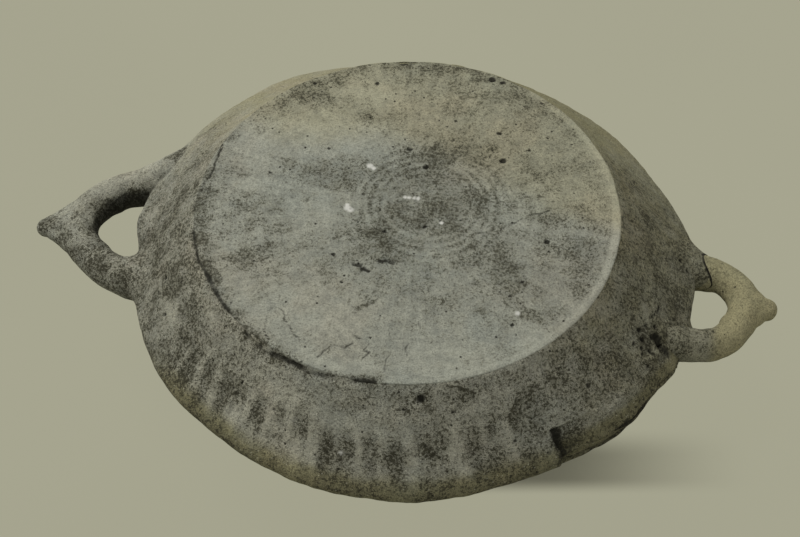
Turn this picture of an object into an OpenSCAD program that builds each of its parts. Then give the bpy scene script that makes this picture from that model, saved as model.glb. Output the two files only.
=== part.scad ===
// Large lentoid pilgrim flask of coarse clay, lying on its back.
// The flat front face is up, the deeper back half rests on its small flat base.
// +X runs through the shorter handle, +Y through the neck, +Z up through the face.
// The origin is the centre of the flat resting base.

/* [Body] */
// Largest diameter of the body, over the seam band
body_d = 300; // [280:5:340]
// Diameter of the flat front face
face_d = 220; // [190:5:230]
// Height of the front face above the seam
face_h = 45; // [35:1:60]
// Depth of the back half below the seam
back_depth = 80; // [65:1:95]
// Diameter of the flat base that the flask rests on
rest_d = 120; // [90:5:140]
// How far the back half swells past a straight cone, in degrees at its ends
back_swell = 14; // [8:1:20]
// Thickness of the clay wall
wall = 9; // [7:0.5:11]
// Radius of the rounded edge at the widest place
keel_r = 6; // [4:0.5:8]

/* [Front disc] */
// Thickness of the disc that closes the front
disc_t = 9; // [7:0.5:12]
// Width of the rim that the wall shows round the disc
lip_w = 4; // [3:0.5:8]
// Width of the ledge that carries the disc
ledge_w = 8; // [5:0.5:12]
// Height of that ledge at its inner edge
ledge_h = 6; // [4:0.5:9]
// Rounding of the outer edge of the face
face_round = 2; // [1:0.5:3]

/* [Seam] */
// Thickness of the band over the seam
band_t = 3.8; // [2:0.2:4.6]
// Thickness of that band at its two edges
band_edge_t = 1.2; // [0.8:0.1:2]
// Height of the band above the seam
band_up = 12; // [9:0.5:15]
// Height of the band below the seam
band_down = 10; // [7:0.5:13]
// Where the lost piece of the band begins, in degrees from +X towards -Y
lost_from = 17; // [14:1:30]
// Where the lost piece of the band ends
lost_to = 52; // [35:1:70]
// Height of the clay coil pressed into the seam from inside
coil_h = 20; // [12:1:26]
// Depth of that coil
coil_t = 6; // [3:0.5:9]

/* [Handles] */
// Diameter of the clay roll that both handles are made of
roll_d = 20; // [16:1:24]
// Diameter that the roll grows to at the wall
root_d = 22; // [18:1:26]
// Distance of the handles' middle below the seam
handle_drop = 4; // [0:0.5:8]
// Length of the peg that holds each handle end in the wall
peg_len = 8; // [5:0.5:9]
// Diameter of that peg
peg_d = 9; // [6:0.5:10]
// Distance of the pegs' middle below the seam, all in the back half's rim
peg_drop = 6; // [5.5:0.5:8]
// Width of the clay wad smoothed round each handle root
wad_w = 4; // [2:0.5:6]
// Height of that wad over the wall
wad_h = 5; // [3:0.5:7]
// Width of the eye of the right handle
right_eye_w = 30; // [24:1:36]
// Depth of the eye of the right handle
right_eye_depth = 16; // [12:1:20]
// How far the tip of the right handle stands out past its loop
right_tip = 9; // [6:1:16]
// Place of the right eye along Y
right_eye_y = -6.5; // [-12:0.5:6]
// Lean of the far arm of the right handle: 90 is straight out of the wall
right_lean = 90; // [70:5:90]
// Width of the eye of the left handle at its outer end
left_eye_w = 25; // [20:1:32]
// Depth of the eye of the left handle
left_eye_depth = 27; // [22:1:32]
// How far the tip of the left handle stands out past its loop
left_tip = 15; // [10:1:24]
// Place of the left eye along Y
left_eye_y = -3; // [-8:0.5:6]
// Lean of the far arm of the left handle: 90 is straight out of the wall
left_lean = 55; // [50:5:90]
// Diameter of the blunt end of each handle's tip
tip_d = 8; // [5:0.5:11]
// Where the pinched sides of the tip leave the loop, in degrees either side of it
pinch = 40; // [30:5:50]
// Thickness of the pinched sides where they leave the loop
pinch_d = 16; // [12:1:17]

/* [Neck] */
// Distance of the neck's axis below the seam
neck_drop = 37; // [34:1:42]
// Distance that the mouth stands out past the widest place
neck_past = 26; // [18:1:40]
// Diameter of the neck's bore
bore_d = 20; // [14:1:24]
// Outer diameter of the neck
neck_d = 36; // [34:1:38]
// Diameter of the lip at the mouth
mouth_d = 42; // [39:1:46]
// Length of the flare under the lip
mouth_len = 9; // [6:1:12]
// Diameter of the neck where it passes through the wall
spigot_d = 29; // [27:0.5:31]
// Width of the clay collar smoothed round the root of the neck
collar_w = 6; // [3:0.5:8]
// Height of that collar over the wall
collar_h = 5; // [3:0.5:7]

/* [Fits] */
// Gap left for slip between curved pieces that are pressed together
slip_gap = 0.2; // [0.1:0.05:0.3]

/* [Hidden] */
$fn = 64;
arc_steps = 10;
eps = 0.01;

seam_r = body_d / 2;
face_r = face_d / 2;
rest_r = rest_d / 2;
seam_z = back_depth;
face_z = back_depth + face_h;
roll_r = roll_d / 2;
root_r = root_d / 2;
handle_z = seam_z - handle_drop;
peg_z = seam_z - peg_drop;
neck_z = seam_z - neck_drop;
mouth_y = seam_r + neck_past;

// Slope of the front wall: the line from the face's edge that touches the rounded edge
keel = [seam_r - keel_r, seam_z];
keel_run = keel[0] - face_r;
front_slope = atan2(face_h, keel_run) - asin(keel_r / norm([keel_run, face_h]));

// The back half is an arc that leaves the rounded edge and ends at the base
back_slope = atan2(back_depth, seam_r - rest_r) + back_swell;
back_top = keel + keel_r * [sin(back_slope), -cos(back_slope)];
back_chord = back_top - [rest_r, 0];
back_half_turn = back_slope - atan2(back_chord[1], back_chord[0]);
back_arc_r = norm(back_chord) / (2 * sin(back_half_turn));
back_centre = back_top - back_arc_r * [sin(back_slope), -cos(back_slope)];
floor_slope = back_slope - 2 * back_half_turn;

// Radius of the front wall and of the back half at a height, a given depth under the surface
function front_r(z, depth = 0) = face_r + (face_z - z) / tan(front_slope) - depth / sin(front_slope);
function back_r(z, depth = 0) =
    back_centre[0] + sqrt(pow(back_arc_r - depth, 2) - pow(z - back_centre[1], 2));

// Points of an arc whose normal turns from one slope to another, 0 pointing down
function arc(centre, r, from, to, steps = arc_steps) = [
    for (i = [0 : steps])
        let (a = from + (to - from) * i / steps)
            centre + r * [sin(a), -cos(a)]
];

// Slope on the back arc at a height, so that an arc can start or end there
function back_angle(z, depth = 0) = acos((back_centre[1] - z) / (back_arc_r - depth));

band_top = seam_z + band_up;
band_bottom = seam_z - band_down;
band_seat = seam_r - band_t;
band_top_seat = front_r(band_top, band_edge_t);
band_bottom_seat = back_r(band_bottom, band_edge_t);

disc_seat_z = face_z - disc_t;
disc_seat_r = face_r - lip_w;
disc_r = disc_seat_r - slip_gap;
ledge_r = disc_seat_r - ledge_w;
ledge_z = disc_seat_z - ledge_h;
ledge_foot = ledge_z - ledge_w;

// The whole outside as one outline, used to shape what is pressed onto the wall
function outside(grow = 0) = concat(
    arc(back_centre, back_arc_r + grow, floor_slope, back_slope),
    arc(keel, keel_r + grow, back_slope, 180 - front_slope),
    [[front_r(face_z, -grow), face_z], [0, face_z], [0, -grow], [rest_r, -grow]]
);

module body_space(grow = 0) {
    rotate_extrude() polygon(outside(grow));
}

// The hollow of the back half, open at the seam
module back_hollow() {
    rotate_extrude()
        polygon(concat(
            arc(back_centre, back_arc_r - wall, floor_slope, back_angle(seam_z, wall)),
            [[0, seam_z], [0, wall * cos(floor_slope)]]
        ));
}

// Something turned, laid in a horizontal plane from a point in a direction
module lay(from, angle, z = handle_z) {
    translate([from[0], from[1], z]) rotate([0, 90, angle]) children();
}

// Distance along a direction until a line in the horizontal plane meets a circle round the axis
function reach_wall(p, angle, r) =
    let (along = p * [cos(angle), sin(angle)])
        -along - sqrt(along * along - p * p + r * r);

wall_seat = back_r(min(handle_z, keel[1] - keel_r * cos(back_slope)));

// The handles: an arc with two arms, drawn on the +X side, sizes in a list
function arc_radius(eye_w) = eye_w / 2 + roll_r;
function crown(eye_depth) = seam_r + eye_depth + roll_r;
right = [arc_radius(right_eye_w), crown(right_eye_depth), right_eye_y, right_lean, right_tip];
left = [arc_radius(left_eye_w), crown(left_eye_depth), left_eye_y, left_lean, left_tip];
function centre(h) = [h[1] - h[0], h[2]];
function far_end(h) = centre(h) + h[0] * [cos(h[3]), sin(h[3])];
function near_end(h) = centre(h) - [0, h[0]];
function far_way(h) = h[3] + 90;
near_way = 180;
arm_lap = 2;
pinch_reach = 0.8;

// An arm starts a little inside the arc and grows towards the wall, which cuts it off
module arm(h, far) {
    from = far ? far_end(h) : near_end(h);
    way = far ? far_way(h) : near_way;
    start_r = roll_r - 2 * slip_gap;
    to_wall = arm_lap + reach_wall(from, way, wall_seat);
    past_wall = to_wall + root_d;
    lay(from - arm_lap * [cos(way), sin(way)], way)
        rotate_extrude()
            polygon([[0, 0], [start_r, 0], [root_r, to_wall], [root_r, past_wall], [0, past_wall]]);
}

// The peg at a handle end, also used with a larger radius and length for its hole
module peg(h, far, r, extra = 0) {
    from = far ? far_end(h) : near_end(h);
    way = far ? far_way(h) : near_way;
    run = reach_wall(from, way, wall_seat);
    lay(from + (run - peg_len) * [cos(way), sin(way)], way, peg_z)
        cylinder(h = 2 * peg_len + extra, r = r);
}

// The tip is a cone on the loop's crown, with a pinched fillet of clay down each side of it
module handle(h) {
    top = [h[1], h[2]];
    tip_run = roll_r + h[4] - tip_d / 2;
    tip_r = tip_d / 2 - slip_gap;
    pinch_end = top + [pinch_reach * tip_run, 0];
    difference() {
        union() {
            translate([centre(h)[0], centre(h)[1], handle_z])
                rotate([0, 0, -90])
                    rotate_extrude(angle = 90 + h[3])
                        translate([h[0], 0]) circle(r = roll_r);
            arm(h, true);
            arm(h, false);
            lay(top, 0) cylinder(h = tip_run, r1 = roll_r - slip_gap, r2 = tip_r);
            lay(top + [tip_run, 0], 0) sphere(r = tip_d / 2);
            for (side = [-1, 1]) {
                from = centre(h) + h[0] * [cos(pinch), side * sin(pinch)];
                run = pinch_end - from;
                lay(from, atan2(run[1], run[0]))
                    cylinder(h = norm(run), r1 = pinch_d / 2, r2 = tip_r);
            }
        }
        body_space(slip_gap);
    }
    peg(h, true, peg_d / 2);
    peg(h, false, peg_d / 2);
}

// A layer of clay on the outside of the body
module on_wall(height) {
    difference() {
        intersection() {
            children();
            body_space(slip_gap + height);
        }
        body_space(slip_gap);
    }
}

// A wad of clay smoothed round one handle root
module wad(h, far) {
    from = far ? far_end(h) : near_end(h);
    way = far ? far_way(h) : near_way;
    run = reach_wall(from, way, wall_seat);
    on_wall(wad_h)
        difference() {
            lay(from, way) cylinder(h = run + root_d, r = root_r + slip_gap + wad_w);
            lay(from, way) cylinder(h = run + 2 * root_d, r = root_r + slip_gap);
        }
}

module peg_holes() {
    for (far = [true, false]) {
        peg(right, far, peg_d / 2 + slip_gap, slip_gap);
        mirror([1, 0, 0]) peg(left, far, peg_d / 2 + slip_gap, slip_gap);
    }
}

// Something turned about the neck's axis, with its profile's height measured along +Y
module along_neck() {
    translate([0, 0, neck_z]) rotate([-90, 0, 0]) children();
}

module back_shell() {
    color("#6f6d5f")
        difference() {
            rotate_extrude()
                polygon(concat(
                    [[0, 0]],
                    arc(back_centre, back_arc_r, floor_slope, back_angle(band_bottom)),
                    [
                        [band_bottom_seat, band_bottom],
                        [band_seat, seam_z],
                        [back_r(seam_z, wall), seam_z]
                    ],
                    arc(back_centre, back_arc_r - wall, back_angle(seam_z, wall), floor_slope),
                    [[0, wall * cos(floor_slope)]]
                ));
            along_neck() cylinder(h = seam_r, r = spigot_d / 2 + slip_gap);
            peg_holes();
        }
}

module front_wall() {
    round_angle = 180 - front_slope;
    round_run = face_round * tan(front_slope / 2);
    round_centre = [face_r - round_run, face_z - face_round];
    color("#75746a")
        rotate_extrude()
            polygon(concat(
                [
                    [front_r(seam_z, wall), seam_z],
                    [band_seat, seam_z],
                    [band_top_seat, band_top],
                    [front_r(band_top), band_top]
                ],
                arc(round_centre, face_round, round_angle, 180, 4),
                [
                    [disc_seat_r, face_z],
                    [disc_seat_r, disc_seat_z],
                    [ledge_r, disc_seat_z],
                    [ledge_r, ledge_z],
                    [front_r(ledge_foot, wall), ledge_foot]
                ]
            ));
}

module front_disc() {
    edge = 1;
    color("#9b9c94")
        translate([0, 0, disc_seat_z])
            rotate_extrude()
                polygon([[0, 0], [disc_r, 0], [disc_r, disc_t - edge], [disc_r - edge, disc_t], [0, disc_t]]);
}

module seam_band() {
    color("#66634f")
        difference() {
            rotate([0, 0, -lost_from])
                rotate_extrude(angle = 360 - (lost_to - lost_from))
                    polygon(concat(
                        [[band_bottom_seat, band_bottom]],
                        arc(back_centre, back_arc_r, back_angle(band_bottom), back_slope, 3),
                        arc(keel, keel_r, back_slope, 180 - front_slope),
                        [[front_r(band_top), band_top], [band_top_seat, band_top], [band_seat, seam_z]]
                    ));
            peg_holes();
        }
}

module seam_coil() {
    up = seam_z + coil_h / 2;
    down = seam_z - coil_h / 2;
    inner_r = min(front_r(seam_z, wall), back_r(seam_z, wall)) - slip_gap;
    top_r = front_r(up, wall) - slip_gap;
    bottom_r = back_r(down, wall) - slip_gap;
    color("#5d5a4d")
        rotate_extrude()
            polygon([
                [inner_r, seam_z],
                [top_r, up],
                [inner_r - coil_t, seam_z + coil_h / 6],
                [inner_r - coil_t, seam_z - coil_h / 6],
                [bottom_r, down]
            ]);
}

module neck() {
    neck_r = neck_d / 2;
    mouth_r = mouth_d / 2;
    flare_y = mouth_y - mouth_len;
    lip_round = 2;
    color("#7b786a")
        difference() {
            union() {
                difference() {
                    along_neck()
                        rotate_extrude()
                            polygon([
                                [0, rest_r],
                                [neck_r, rest_r],
                                [neck_r, flare_y],
                                [mouth_r, mouth_y - 2 * lip_round],
                                [mouth_r, mouth_y - lip_round],
                                [mouth_r - lip_round, mouth_y],
                                [0, mouth_y]
                            ]);
                    body_space(slip_gap);
                }
                difference() {
                    along_neck() cylinder(h = flare_y, r = spigot_d / 2);
                    back_hollow();
                }
            }
            along_neck() cylinder(h = mouth_y + eps, r = bore_d / 2);
        }
}

module neck_collar() {
    inner = neck_d / 2 + slip_gap;
    color("#6a6757")
        on_wall(collar_h)
            along_neck()
                difference() {
                    cylinder(h = mouth_y, r = inner + collar_w);
                    cylinder(h = mouth_y + eps, r = inner);
                }
}

module handle_right() {
    color("#a39d80") handle(right);
}

module handle_left() {
    color("#5c5b50") mirror([1, 0, 0]) handle(left);
}

module wad_right_far() {
    color("#8b866e") wad(right, true);
}

module wad_right_near() {
    color("#8b866e") wad(right, false);
}

module wad_left_far() {
    color("#55544a") mirror([1, 0, 0]) wad(left, true);
}

module wad_left_near() {
    color("#55544a") mirror([1, 0, 0]) wad(left, false);
}

back_shell();
front_wall();
front_disc();
seam_band();
seam_coil();
neck();
neck_collar();
handle_right();
handle_left();
wad_right_far();
wad_right_near();
wad_left_far();
wad_left_near();
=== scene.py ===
import math

import bmesh
import bpy
import numpy as np
from bpy.props import FloatProperty, FloatVectorProperty, PointerProperty
from mathutils import Matrix, Vector
from mathutils.bvhtree import BVHTree


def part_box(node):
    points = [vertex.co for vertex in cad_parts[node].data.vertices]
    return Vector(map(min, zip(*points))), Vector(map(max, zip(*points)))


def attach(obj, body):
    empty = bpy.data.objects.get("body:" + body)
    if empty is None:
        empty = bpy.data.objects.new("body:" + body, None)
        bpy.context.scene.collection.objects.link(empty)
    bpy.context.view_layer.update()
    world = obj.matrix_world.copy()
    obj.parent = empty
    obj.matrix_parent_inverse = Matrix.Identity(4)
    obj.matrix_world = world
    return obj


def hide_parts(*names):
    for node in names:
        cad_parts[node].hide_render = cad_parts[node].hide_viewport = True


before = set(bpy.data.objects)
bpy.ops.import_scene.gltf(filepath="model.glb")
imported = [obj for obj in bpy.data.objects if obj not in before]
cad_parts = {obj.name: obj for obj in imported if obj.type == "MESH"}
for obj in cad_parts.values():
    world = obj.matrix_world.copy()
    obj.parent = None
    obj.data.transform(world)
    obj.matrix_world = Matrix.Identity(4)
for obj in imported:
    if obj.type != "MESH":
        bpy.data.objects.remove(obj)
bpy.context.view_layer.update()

bl_info = {
    "name": "Clay Flask",
    "version": (1, 0, 0),
    "blender": (4, 5, 0),
    "location": "View3D > Sidebar > Flask",
    "description": "Dresses the packed flask in hand-made clay and sets up its stage",
    "category": "Object",
}

# The body's own lines, in millimetres in the frame's axes, as in the part's source
MM = 0.001
UP = np.array([0.0, 0.0, 1.0])
SEAM_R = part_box("seam_band")[1].x / MM
SEAM_Z = (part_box("seam_coil")[0].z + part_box("seam_coil")[1].z) / 2 / MM
BAND_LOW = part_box("seam_band")[0].z / MM
BAND_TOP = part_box("seam_band")[1].z / MM
FACE_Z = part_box("front_disc")[1].z / MM
DISC_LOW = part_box("front_disc")[0].z / MM
DISC_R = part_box("front_disc")[1].x / MM
MOUTH_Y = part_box("neck")[1].y / MM
NECK_Z = (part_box("neck")[0].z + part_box("neck")[1].z) / 2 / MM
HANDLE_Z = 76.0
EYE_LEFT = (-164.0, 2.0)
FACE_R = 110.0
REST_R = 60.0
WALL = 9.0
KEEL_R = 6.0
BACK_SWELL = math.radians(14)
LOST_FROM = -12.0
LOST_TO = -52.3

KEEL = np.array([SEAM_R - KEEL_R, SEAM_Z])
FACE_H = FACE_Z - SEAM_Z
FRONT_SLOPE = math.atan2(FACE_H, KEEL[0] - FACE_R) - math.asin(KEEL_R / math.hypot(KEEL[0] - FACE_R, FACE_H))
BACK_SLOPE = math.atan2(SEAM_Z, SEAM_R - REST_R) + BACK_SWELL
BACK_TOP = KEEL + KEEL_R * np.array([math.sin(BACK_SLOPE), -math.cos(BACK_SLOPE)])
BACK_CHORD = BACK_TOP - np.array([REST_R, 0.0])
HALF_TURN = BACK_SLOPE - math.atan2(BACK_CHORD[1], BACK_CHORD[0])
BACK_ARC_R = float(np.linalg.norm(BACK_CHORD)) / (2 * math.sin(HALF_TURN))
BACK_CENTRE = BACK_TOP - BACK_ARC_R * np.array([math.sin(BACK_SLOPE), -math.cos(BACK_SLOPE)])
FLOOR_SLOPE = BACK_SLOPE - 2 * HALF_TURN
FRONT_OUT = np.array([math.sin(FRONT_SLOPE), math.cos(FRONT_SLOPE)])
INNER_SEAM = (SEAM_R - 3.8, SEAM_Z)
THIN_EDGE = 1.2
FACE_DROP = 0.62
HALVINGS = 40


def front_r(z, depth=0.0):
    """Radius of the front wall's surface at a height."""
    return FACE_R + (FACE_Z - z) / math.tan(FRONT_SLOPE) - depth / math.sin(FRONT_SLOPE)


def back_angle(z, depth=0.0):
    """Slope of the back half's arc at a height."""
    return math.acos((BACK_CENTRE[1] - z) / (BACK_ARC_R - depth))


def back_r(z, depth=0.0):
    """Radius of the back half's surface at a height."""
    return BACK_CENTRE[0] + math.sqrt((BACK_ARC_R - depth) ** 2 - (z - BACK_CENTRE[1]) ** 2)


def arc(centre, radius, start, stop, step):
    """Points of an arc whose normal turns from start to stop, 0 pointing down."""
    angles = np.linspace(start, stop, max(2, round(radius * abs(stop - start) / step)) + 1)
    return np.stack([centre[0] + radius * np.sin(angles), centre[1] - radius * np.cos(angles)], 1)


def straight(start, stop, step):
    """Points of a line, a step apart."""
    start, stop = np.array(start, float), np.array(stop, float)
    count = max(1, round(float(np.linalg.norm(stop - start)) / step))
    return start + (stop - start) * np.linspace(0, 1, count + 1)[:, None]


def walk(first, *stops):
    """Points of straight lines from a first r, z through stops of r, z and the step on the way there."""
    runs = []
    for stop in stops:
        runs.append(straight(first[:2], stop[:2], stop[2]))
        first = stop
    return np.vstack(runs)


def chained(*runs):
    """Several runs of points as one, each point once."""
    points = np.vstack(runs)
    keep = np.r_[True, np.linalg.norm(np.diff(points, axis=0), axis=1) > 1e-4]
    return points[keep]


OUTLINE = chained(
    straight((0, 0), (REST_R, 0), 60),
    arc(BACK_CENTRE, BACK_ARC_R, FLOOR_SLOPE, BACK_SLOPE, 3),
    arc(KEEL, KEEL_R, BACK_SLOPE, math.pi - FRONT_SLOPE, 0.8),
    straight((FACE_R, FACE_Z), (0, FACE_Z), 110),
)


def body_depth(points):
    """How far points lie under the surface of the turned body, and the way out of it."""
    r = np.hypot(points[:, 0], points[:, 1])
    best = np.full(len(points), np.inf)
    out_r, out_z = np.zeros(len(points)), np.zeros(len(points))
    for a, b in zip(OUTLINE[:-1], OUTLINE[1:]):
        run = (b - a) / np.linalg.norm(b - a)
        depth = -((r - a[0]) * run[1] - (points[:, 2] - a[1]) * run[0])
        nearer = depth < best
        best[nearer] = depth[nearer]
        out_r[nearer], out_z[nearer] = run[1], -run[0]
    safe = np.maximum(r, 1e-6)
    return best, np.stack([out_r * points[:, 0] / safe, out_r * points[:, 1] / safe, out_z], 1)


def fade(value, low, high):
    """0 up to low, 1 from high on and a smooth rise between them; low may be the larger of the two."""
    t = np.clip((value - low) / (high - low), 0, 1)
    return t * t * (3 - 2 * t)


def bell(value, centre, width):
    """1 at the centre, falling smoothly to nearly 0 two widths away."""
    return np.exp(-(((value - centre) / width) ** 2))


def round_z(points):
    """How far points lie from Z, and the level way out from it."""
    r = np.hypot(points[:, 0], points[:, 1])
    return r, np.stack([points[:, 0], points[:, 1], 0 * r], 1) / np.maximum(r, 1e-6)[:, None]


def azimuth(points):
    """Degrees round the body from +X towards +Y, -180 to 180."""
    return np.degrees(np.arctan2(points[:, 1], points[:, 0]))


def turn_from(angles, centre):
    """Signed degrees from a direction."""
    return (angles - centre + 180) % 360 - 180


def noise(points, size, seed):
    """Smooth noise from -1 to 1 with features of a size in millimetres."""
    place = points / size + np.array([seed * 7.31 + 1000.5, seed * 3.17 + 1000.25, seed * 5.73 + 1000.75])
    cell = np.floor(place).astype(np.int64)
    part = place - cell

    # Each corner of a cell has its own value from -1 to 1, hashed from its place and the seed
    blend = part ** 3 * (part * (part * 6 - 15) + 10)
    total = np.zeros(len(points))
    mask = np.uint64(0xFFFFFFFF)
    for corner in range(8):
        step = np.array([corner & 1, corner >> 1 & 1, corner >> 2 & 1])
        key = (cell + step).astype(np.uint64)
        mixed = (key[:, 0] * np.uint64(374761393) + key[:, 1] * np.uint64(668265263)
                 + key[:, 2] * np.uint64(1274126177) + np.uint64(seed * 974711)) & mask
        mixed = ((mixed ^ (mixed >> np.uint64(13))) * np.uint64(1103515245)) & mask
        value = ((mixed ^ (mixed >> np.uint64(16))) & np.uint64(0xFFFF)).astype(float) / 32767.5 - 1
        total += value * np.prod(np.where(step, blend, 1 - blend), axis=1)
    return total


def rough(points, size, octaves, seed):
    """Several octaves of noise, each half as large and half as strong."""
    return sum(noise(points, size / 2 ** k, seed + 13 * k) / 2 ** k for k in range(octaves))


def line_distance(points, line):
    """Distance of points to a line of points, in as many dimensions as the line has."""
    line = np.array(line, float)
    best = np.full(len(points), np.inf)
    for a, b in zip(line[:-1], line[1:]):
        run = b - a
        t = np.clip((points - a) @ run / max(run @ run, 1e-9), 0, 1)
        best = np.minimum(best, np.linalg.norm(points - a - t[:, None] * run, axis=1))
    return best


def on_wall(angle, z):
    """The point of the front wall at an azimuth and a height."""
    a = math.radians(angle)
    return np.array([front_r(z) * math.cos(a), front_r(z) * math.sin(a), z])


# What the hand and the kiln left on the flask: places on the disc in x, y and on the wall in azimuth, z

DISC_GROOVE = [(-111.5, -6), (-113.2, -13.2), (-108.8, -33.3), (-102.5, -50.7), (-93.2, -62.3), (-84.4, -75.3),
               (-74.7, -84.7), (-64.9, -95.4), (-55, -101.4), (-43.3, -105.5), (-34.1, -109.3), (-23, -111.3),
               (-13.4, -112), (-1.7, -111)]
# width and places
DISC_CRACKS = [
    (0.6, [(-79, 78), (-88.5, 68.5), (-97.8, 57.9), (-102.7, 48.4), (-106.8, 36.3), (-108.5, 25.6),
           (-108.3, 10.8), (-111.7, -5.9)]),
    (0.35, [(-55.9, -74.3), (-51.4, -78.3), (-49.5, -84.1), (-43.9, -90.8), (-40.3, -96.3)]),
    (0.35, [(-58.2, -75.4), (-60, -84.1), (-59.8, -90.9), (-56.3, -95.6)]),
    (0.35, [(-31.4, -101.6), (-28, -97.5), (-23.8, -93.9), (-18.8, -94.7), (-15.8, -91.2)]),
    (0.35, [(-16, -86.8), (-11.6, -87.7), (-8.1, -90.1), (-9.2, -94.7), (-6.5, -96.5), (-9.6, -99.2)]),
    (0.3, [(0.1, -81.5), (1.4, -85.8), (6.3, -85.8), (10.7, -82.9)]),
    (0.3, [(2.3, -106.2), (1.7, -99), (2.6, -93)]),
    (0.3, [(11.2, -94.7), (9.8, -89), (12.3, -85.7)]),
    (0.3, [(13.5, -73.5), (16.4, -80.6), (20.7, -85.2)]),
    (0.4, [(35.1, -14.3), (46.4, -12.6), (48.4, -7.3), (55.6, -2.8), (60.4, 1.3), (70.2, 6.1)]),
    (1, [(-23.8, -43), (-20.4, -43.8)]), (1.1, [(-18.8, -45.4), (-16.2, -47.2)]),
    (0.95, [(-11, -39.1), (-3.9, -39.8)]),
]
# width, strength and places
DISC_STREAKS = [
    (2.2, 0.8, [(-88, -49.4), (-67.7, -36.6)]),
    (1.8, 0.75, [(-80.5, -54), (-66.2, -43.8)]),
    (1.8, 0.6, [(-81.2, -62.2), (-56.4, -53.8)]),
    (2.4, 0.45, [(-64.6, -63), (-39.2, -51.3)]),
    (2, 0.45, [(-67.5, -25.6), (-53.3, -18.5)]),
    (3.2, 0.35, [(-108.7, -7.2), (-89.4, -9.8)]),
    (3.4, 0.55, [(42.8, 9.2), (45.1, -0.9), (43.9, -12.7), (39.8, -22), (34.5, -32.6)]),
    (1.2, 0.9, [(-17.5, -71), (-9.8, -65.3)]),
]
# x, y, half length, half width, turn in degrees, strength
DISC_STAINS = [
    (17, -5, 11, 7, -20, 1), (5, -8, 16, 6, 0, 0.6), (-14.6, -26, 9, 12, 30, 0.9), (-7.5, -38.6, 9, 3, -5, 0.8),
    (-36.5, 19, 20, 9, 10, 0.55), (-68, 70.5, 20, 7, 25, 0.7), (-30, 60, 11, 5, 0, 0.6), (11.7, 37, 22, 10, 15, 0.6),
    (66, 36, 26, 9, 0, 0.42), (85, -25, 13, 22, 20, 0.65), (53, -40, 20, 10, -50, 0.6), (36.7, -30, 7, 7, 0, 0.7),
    (-109, -9, 6, 20, 0, 1), (-101, -48, 8, 16, 30, 0.8), (-98, 9, 7, 4, 0, 0.9), (-74, -48, 16, 11, 30, 0.4),
    (-67, 81, 12, 4, 25, 0.5), (28, 8, 14, 9, 40, 0.5), (-10, 103, 30, 4, 0, 0.5), (60, 80, 26, 6, -35, 0.35),
    (70, -62, 18, 8, -45, 0.35), (20, -60, 20, 12, 0, 0.2), (-86, -12, 14, 8, 0, 0.3), (2, 22, 28, 9, 0, 0.35),
    (-104, 36, 5, 18, -15, 0.5),
]
DISC_PALE = [
    (-36, 79, 20, 12, 0, 0.8), (-85, 33, 22, 20, 30, 0.7), (-55, 45, 34, 20, 20, 0.7), (-88, 3, 9, 5, 0, 0.8),
    (-19, -105, 30, 6, 0, 0.8), (25, -93, 34, 14, 5, 0.6), (-30, -75, 40, 20, -20, 0.5), (-42, -10, 22, 16, 0, 0.35),
    (72, -75, 20, 8, 42, 0.6), (-70, -75, 14, 8, -45, 0.5),
]
# x, y, radius
DISC_PITS = [
    (43, 38.3, 2), (-7.5, 39.6, 1.8), (2.8, 27.8, 1.5), (70.7, -14.8, 1.6), (59.2, 83.8, 1), (56, 48, 1),
    (64.7, 58.2, 0.8), (38.6, 57.9, 1.3), (55.5, -51.9, 0.9), (58.2, -69.3, 1.1), (60.7, -42.3, 1),
    (30, 98.9, 2.2), (36, 97, 1.4), (-32.9, 86.8, 1.4), (-21, 106, 2.6), (-15, 106.6, 1.6),
    (-27.8, -55.8, 0.9), (-8, -87.1, 0.8), (-67.5, 82.3, 1), (-35.2, -38.6, 1.3), (-50.5, 33.9, 0.9),
    (-12, -20, 1.2), (8, -14, 1.4), (-78, 12, 0.7), (14, 64, 0.8), (82, 20, 0.7),
]
DISC_WHITE = [
    (-5, 5.1, 1), (-2.9, 5.1, 1.1), (-0.3, 5.1, 0.9), (1.8, 5.1, 1), (-33.4, -6.5, 1.7), (-33.8, -4.6, 1.2),
    (-31.6, -7.6, 1.5), (-26.7, 24.3, 1.6), (-24.5, 22.8, 1.1), (16, -10, 1), (60, -62, 1.1),
]

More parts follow.
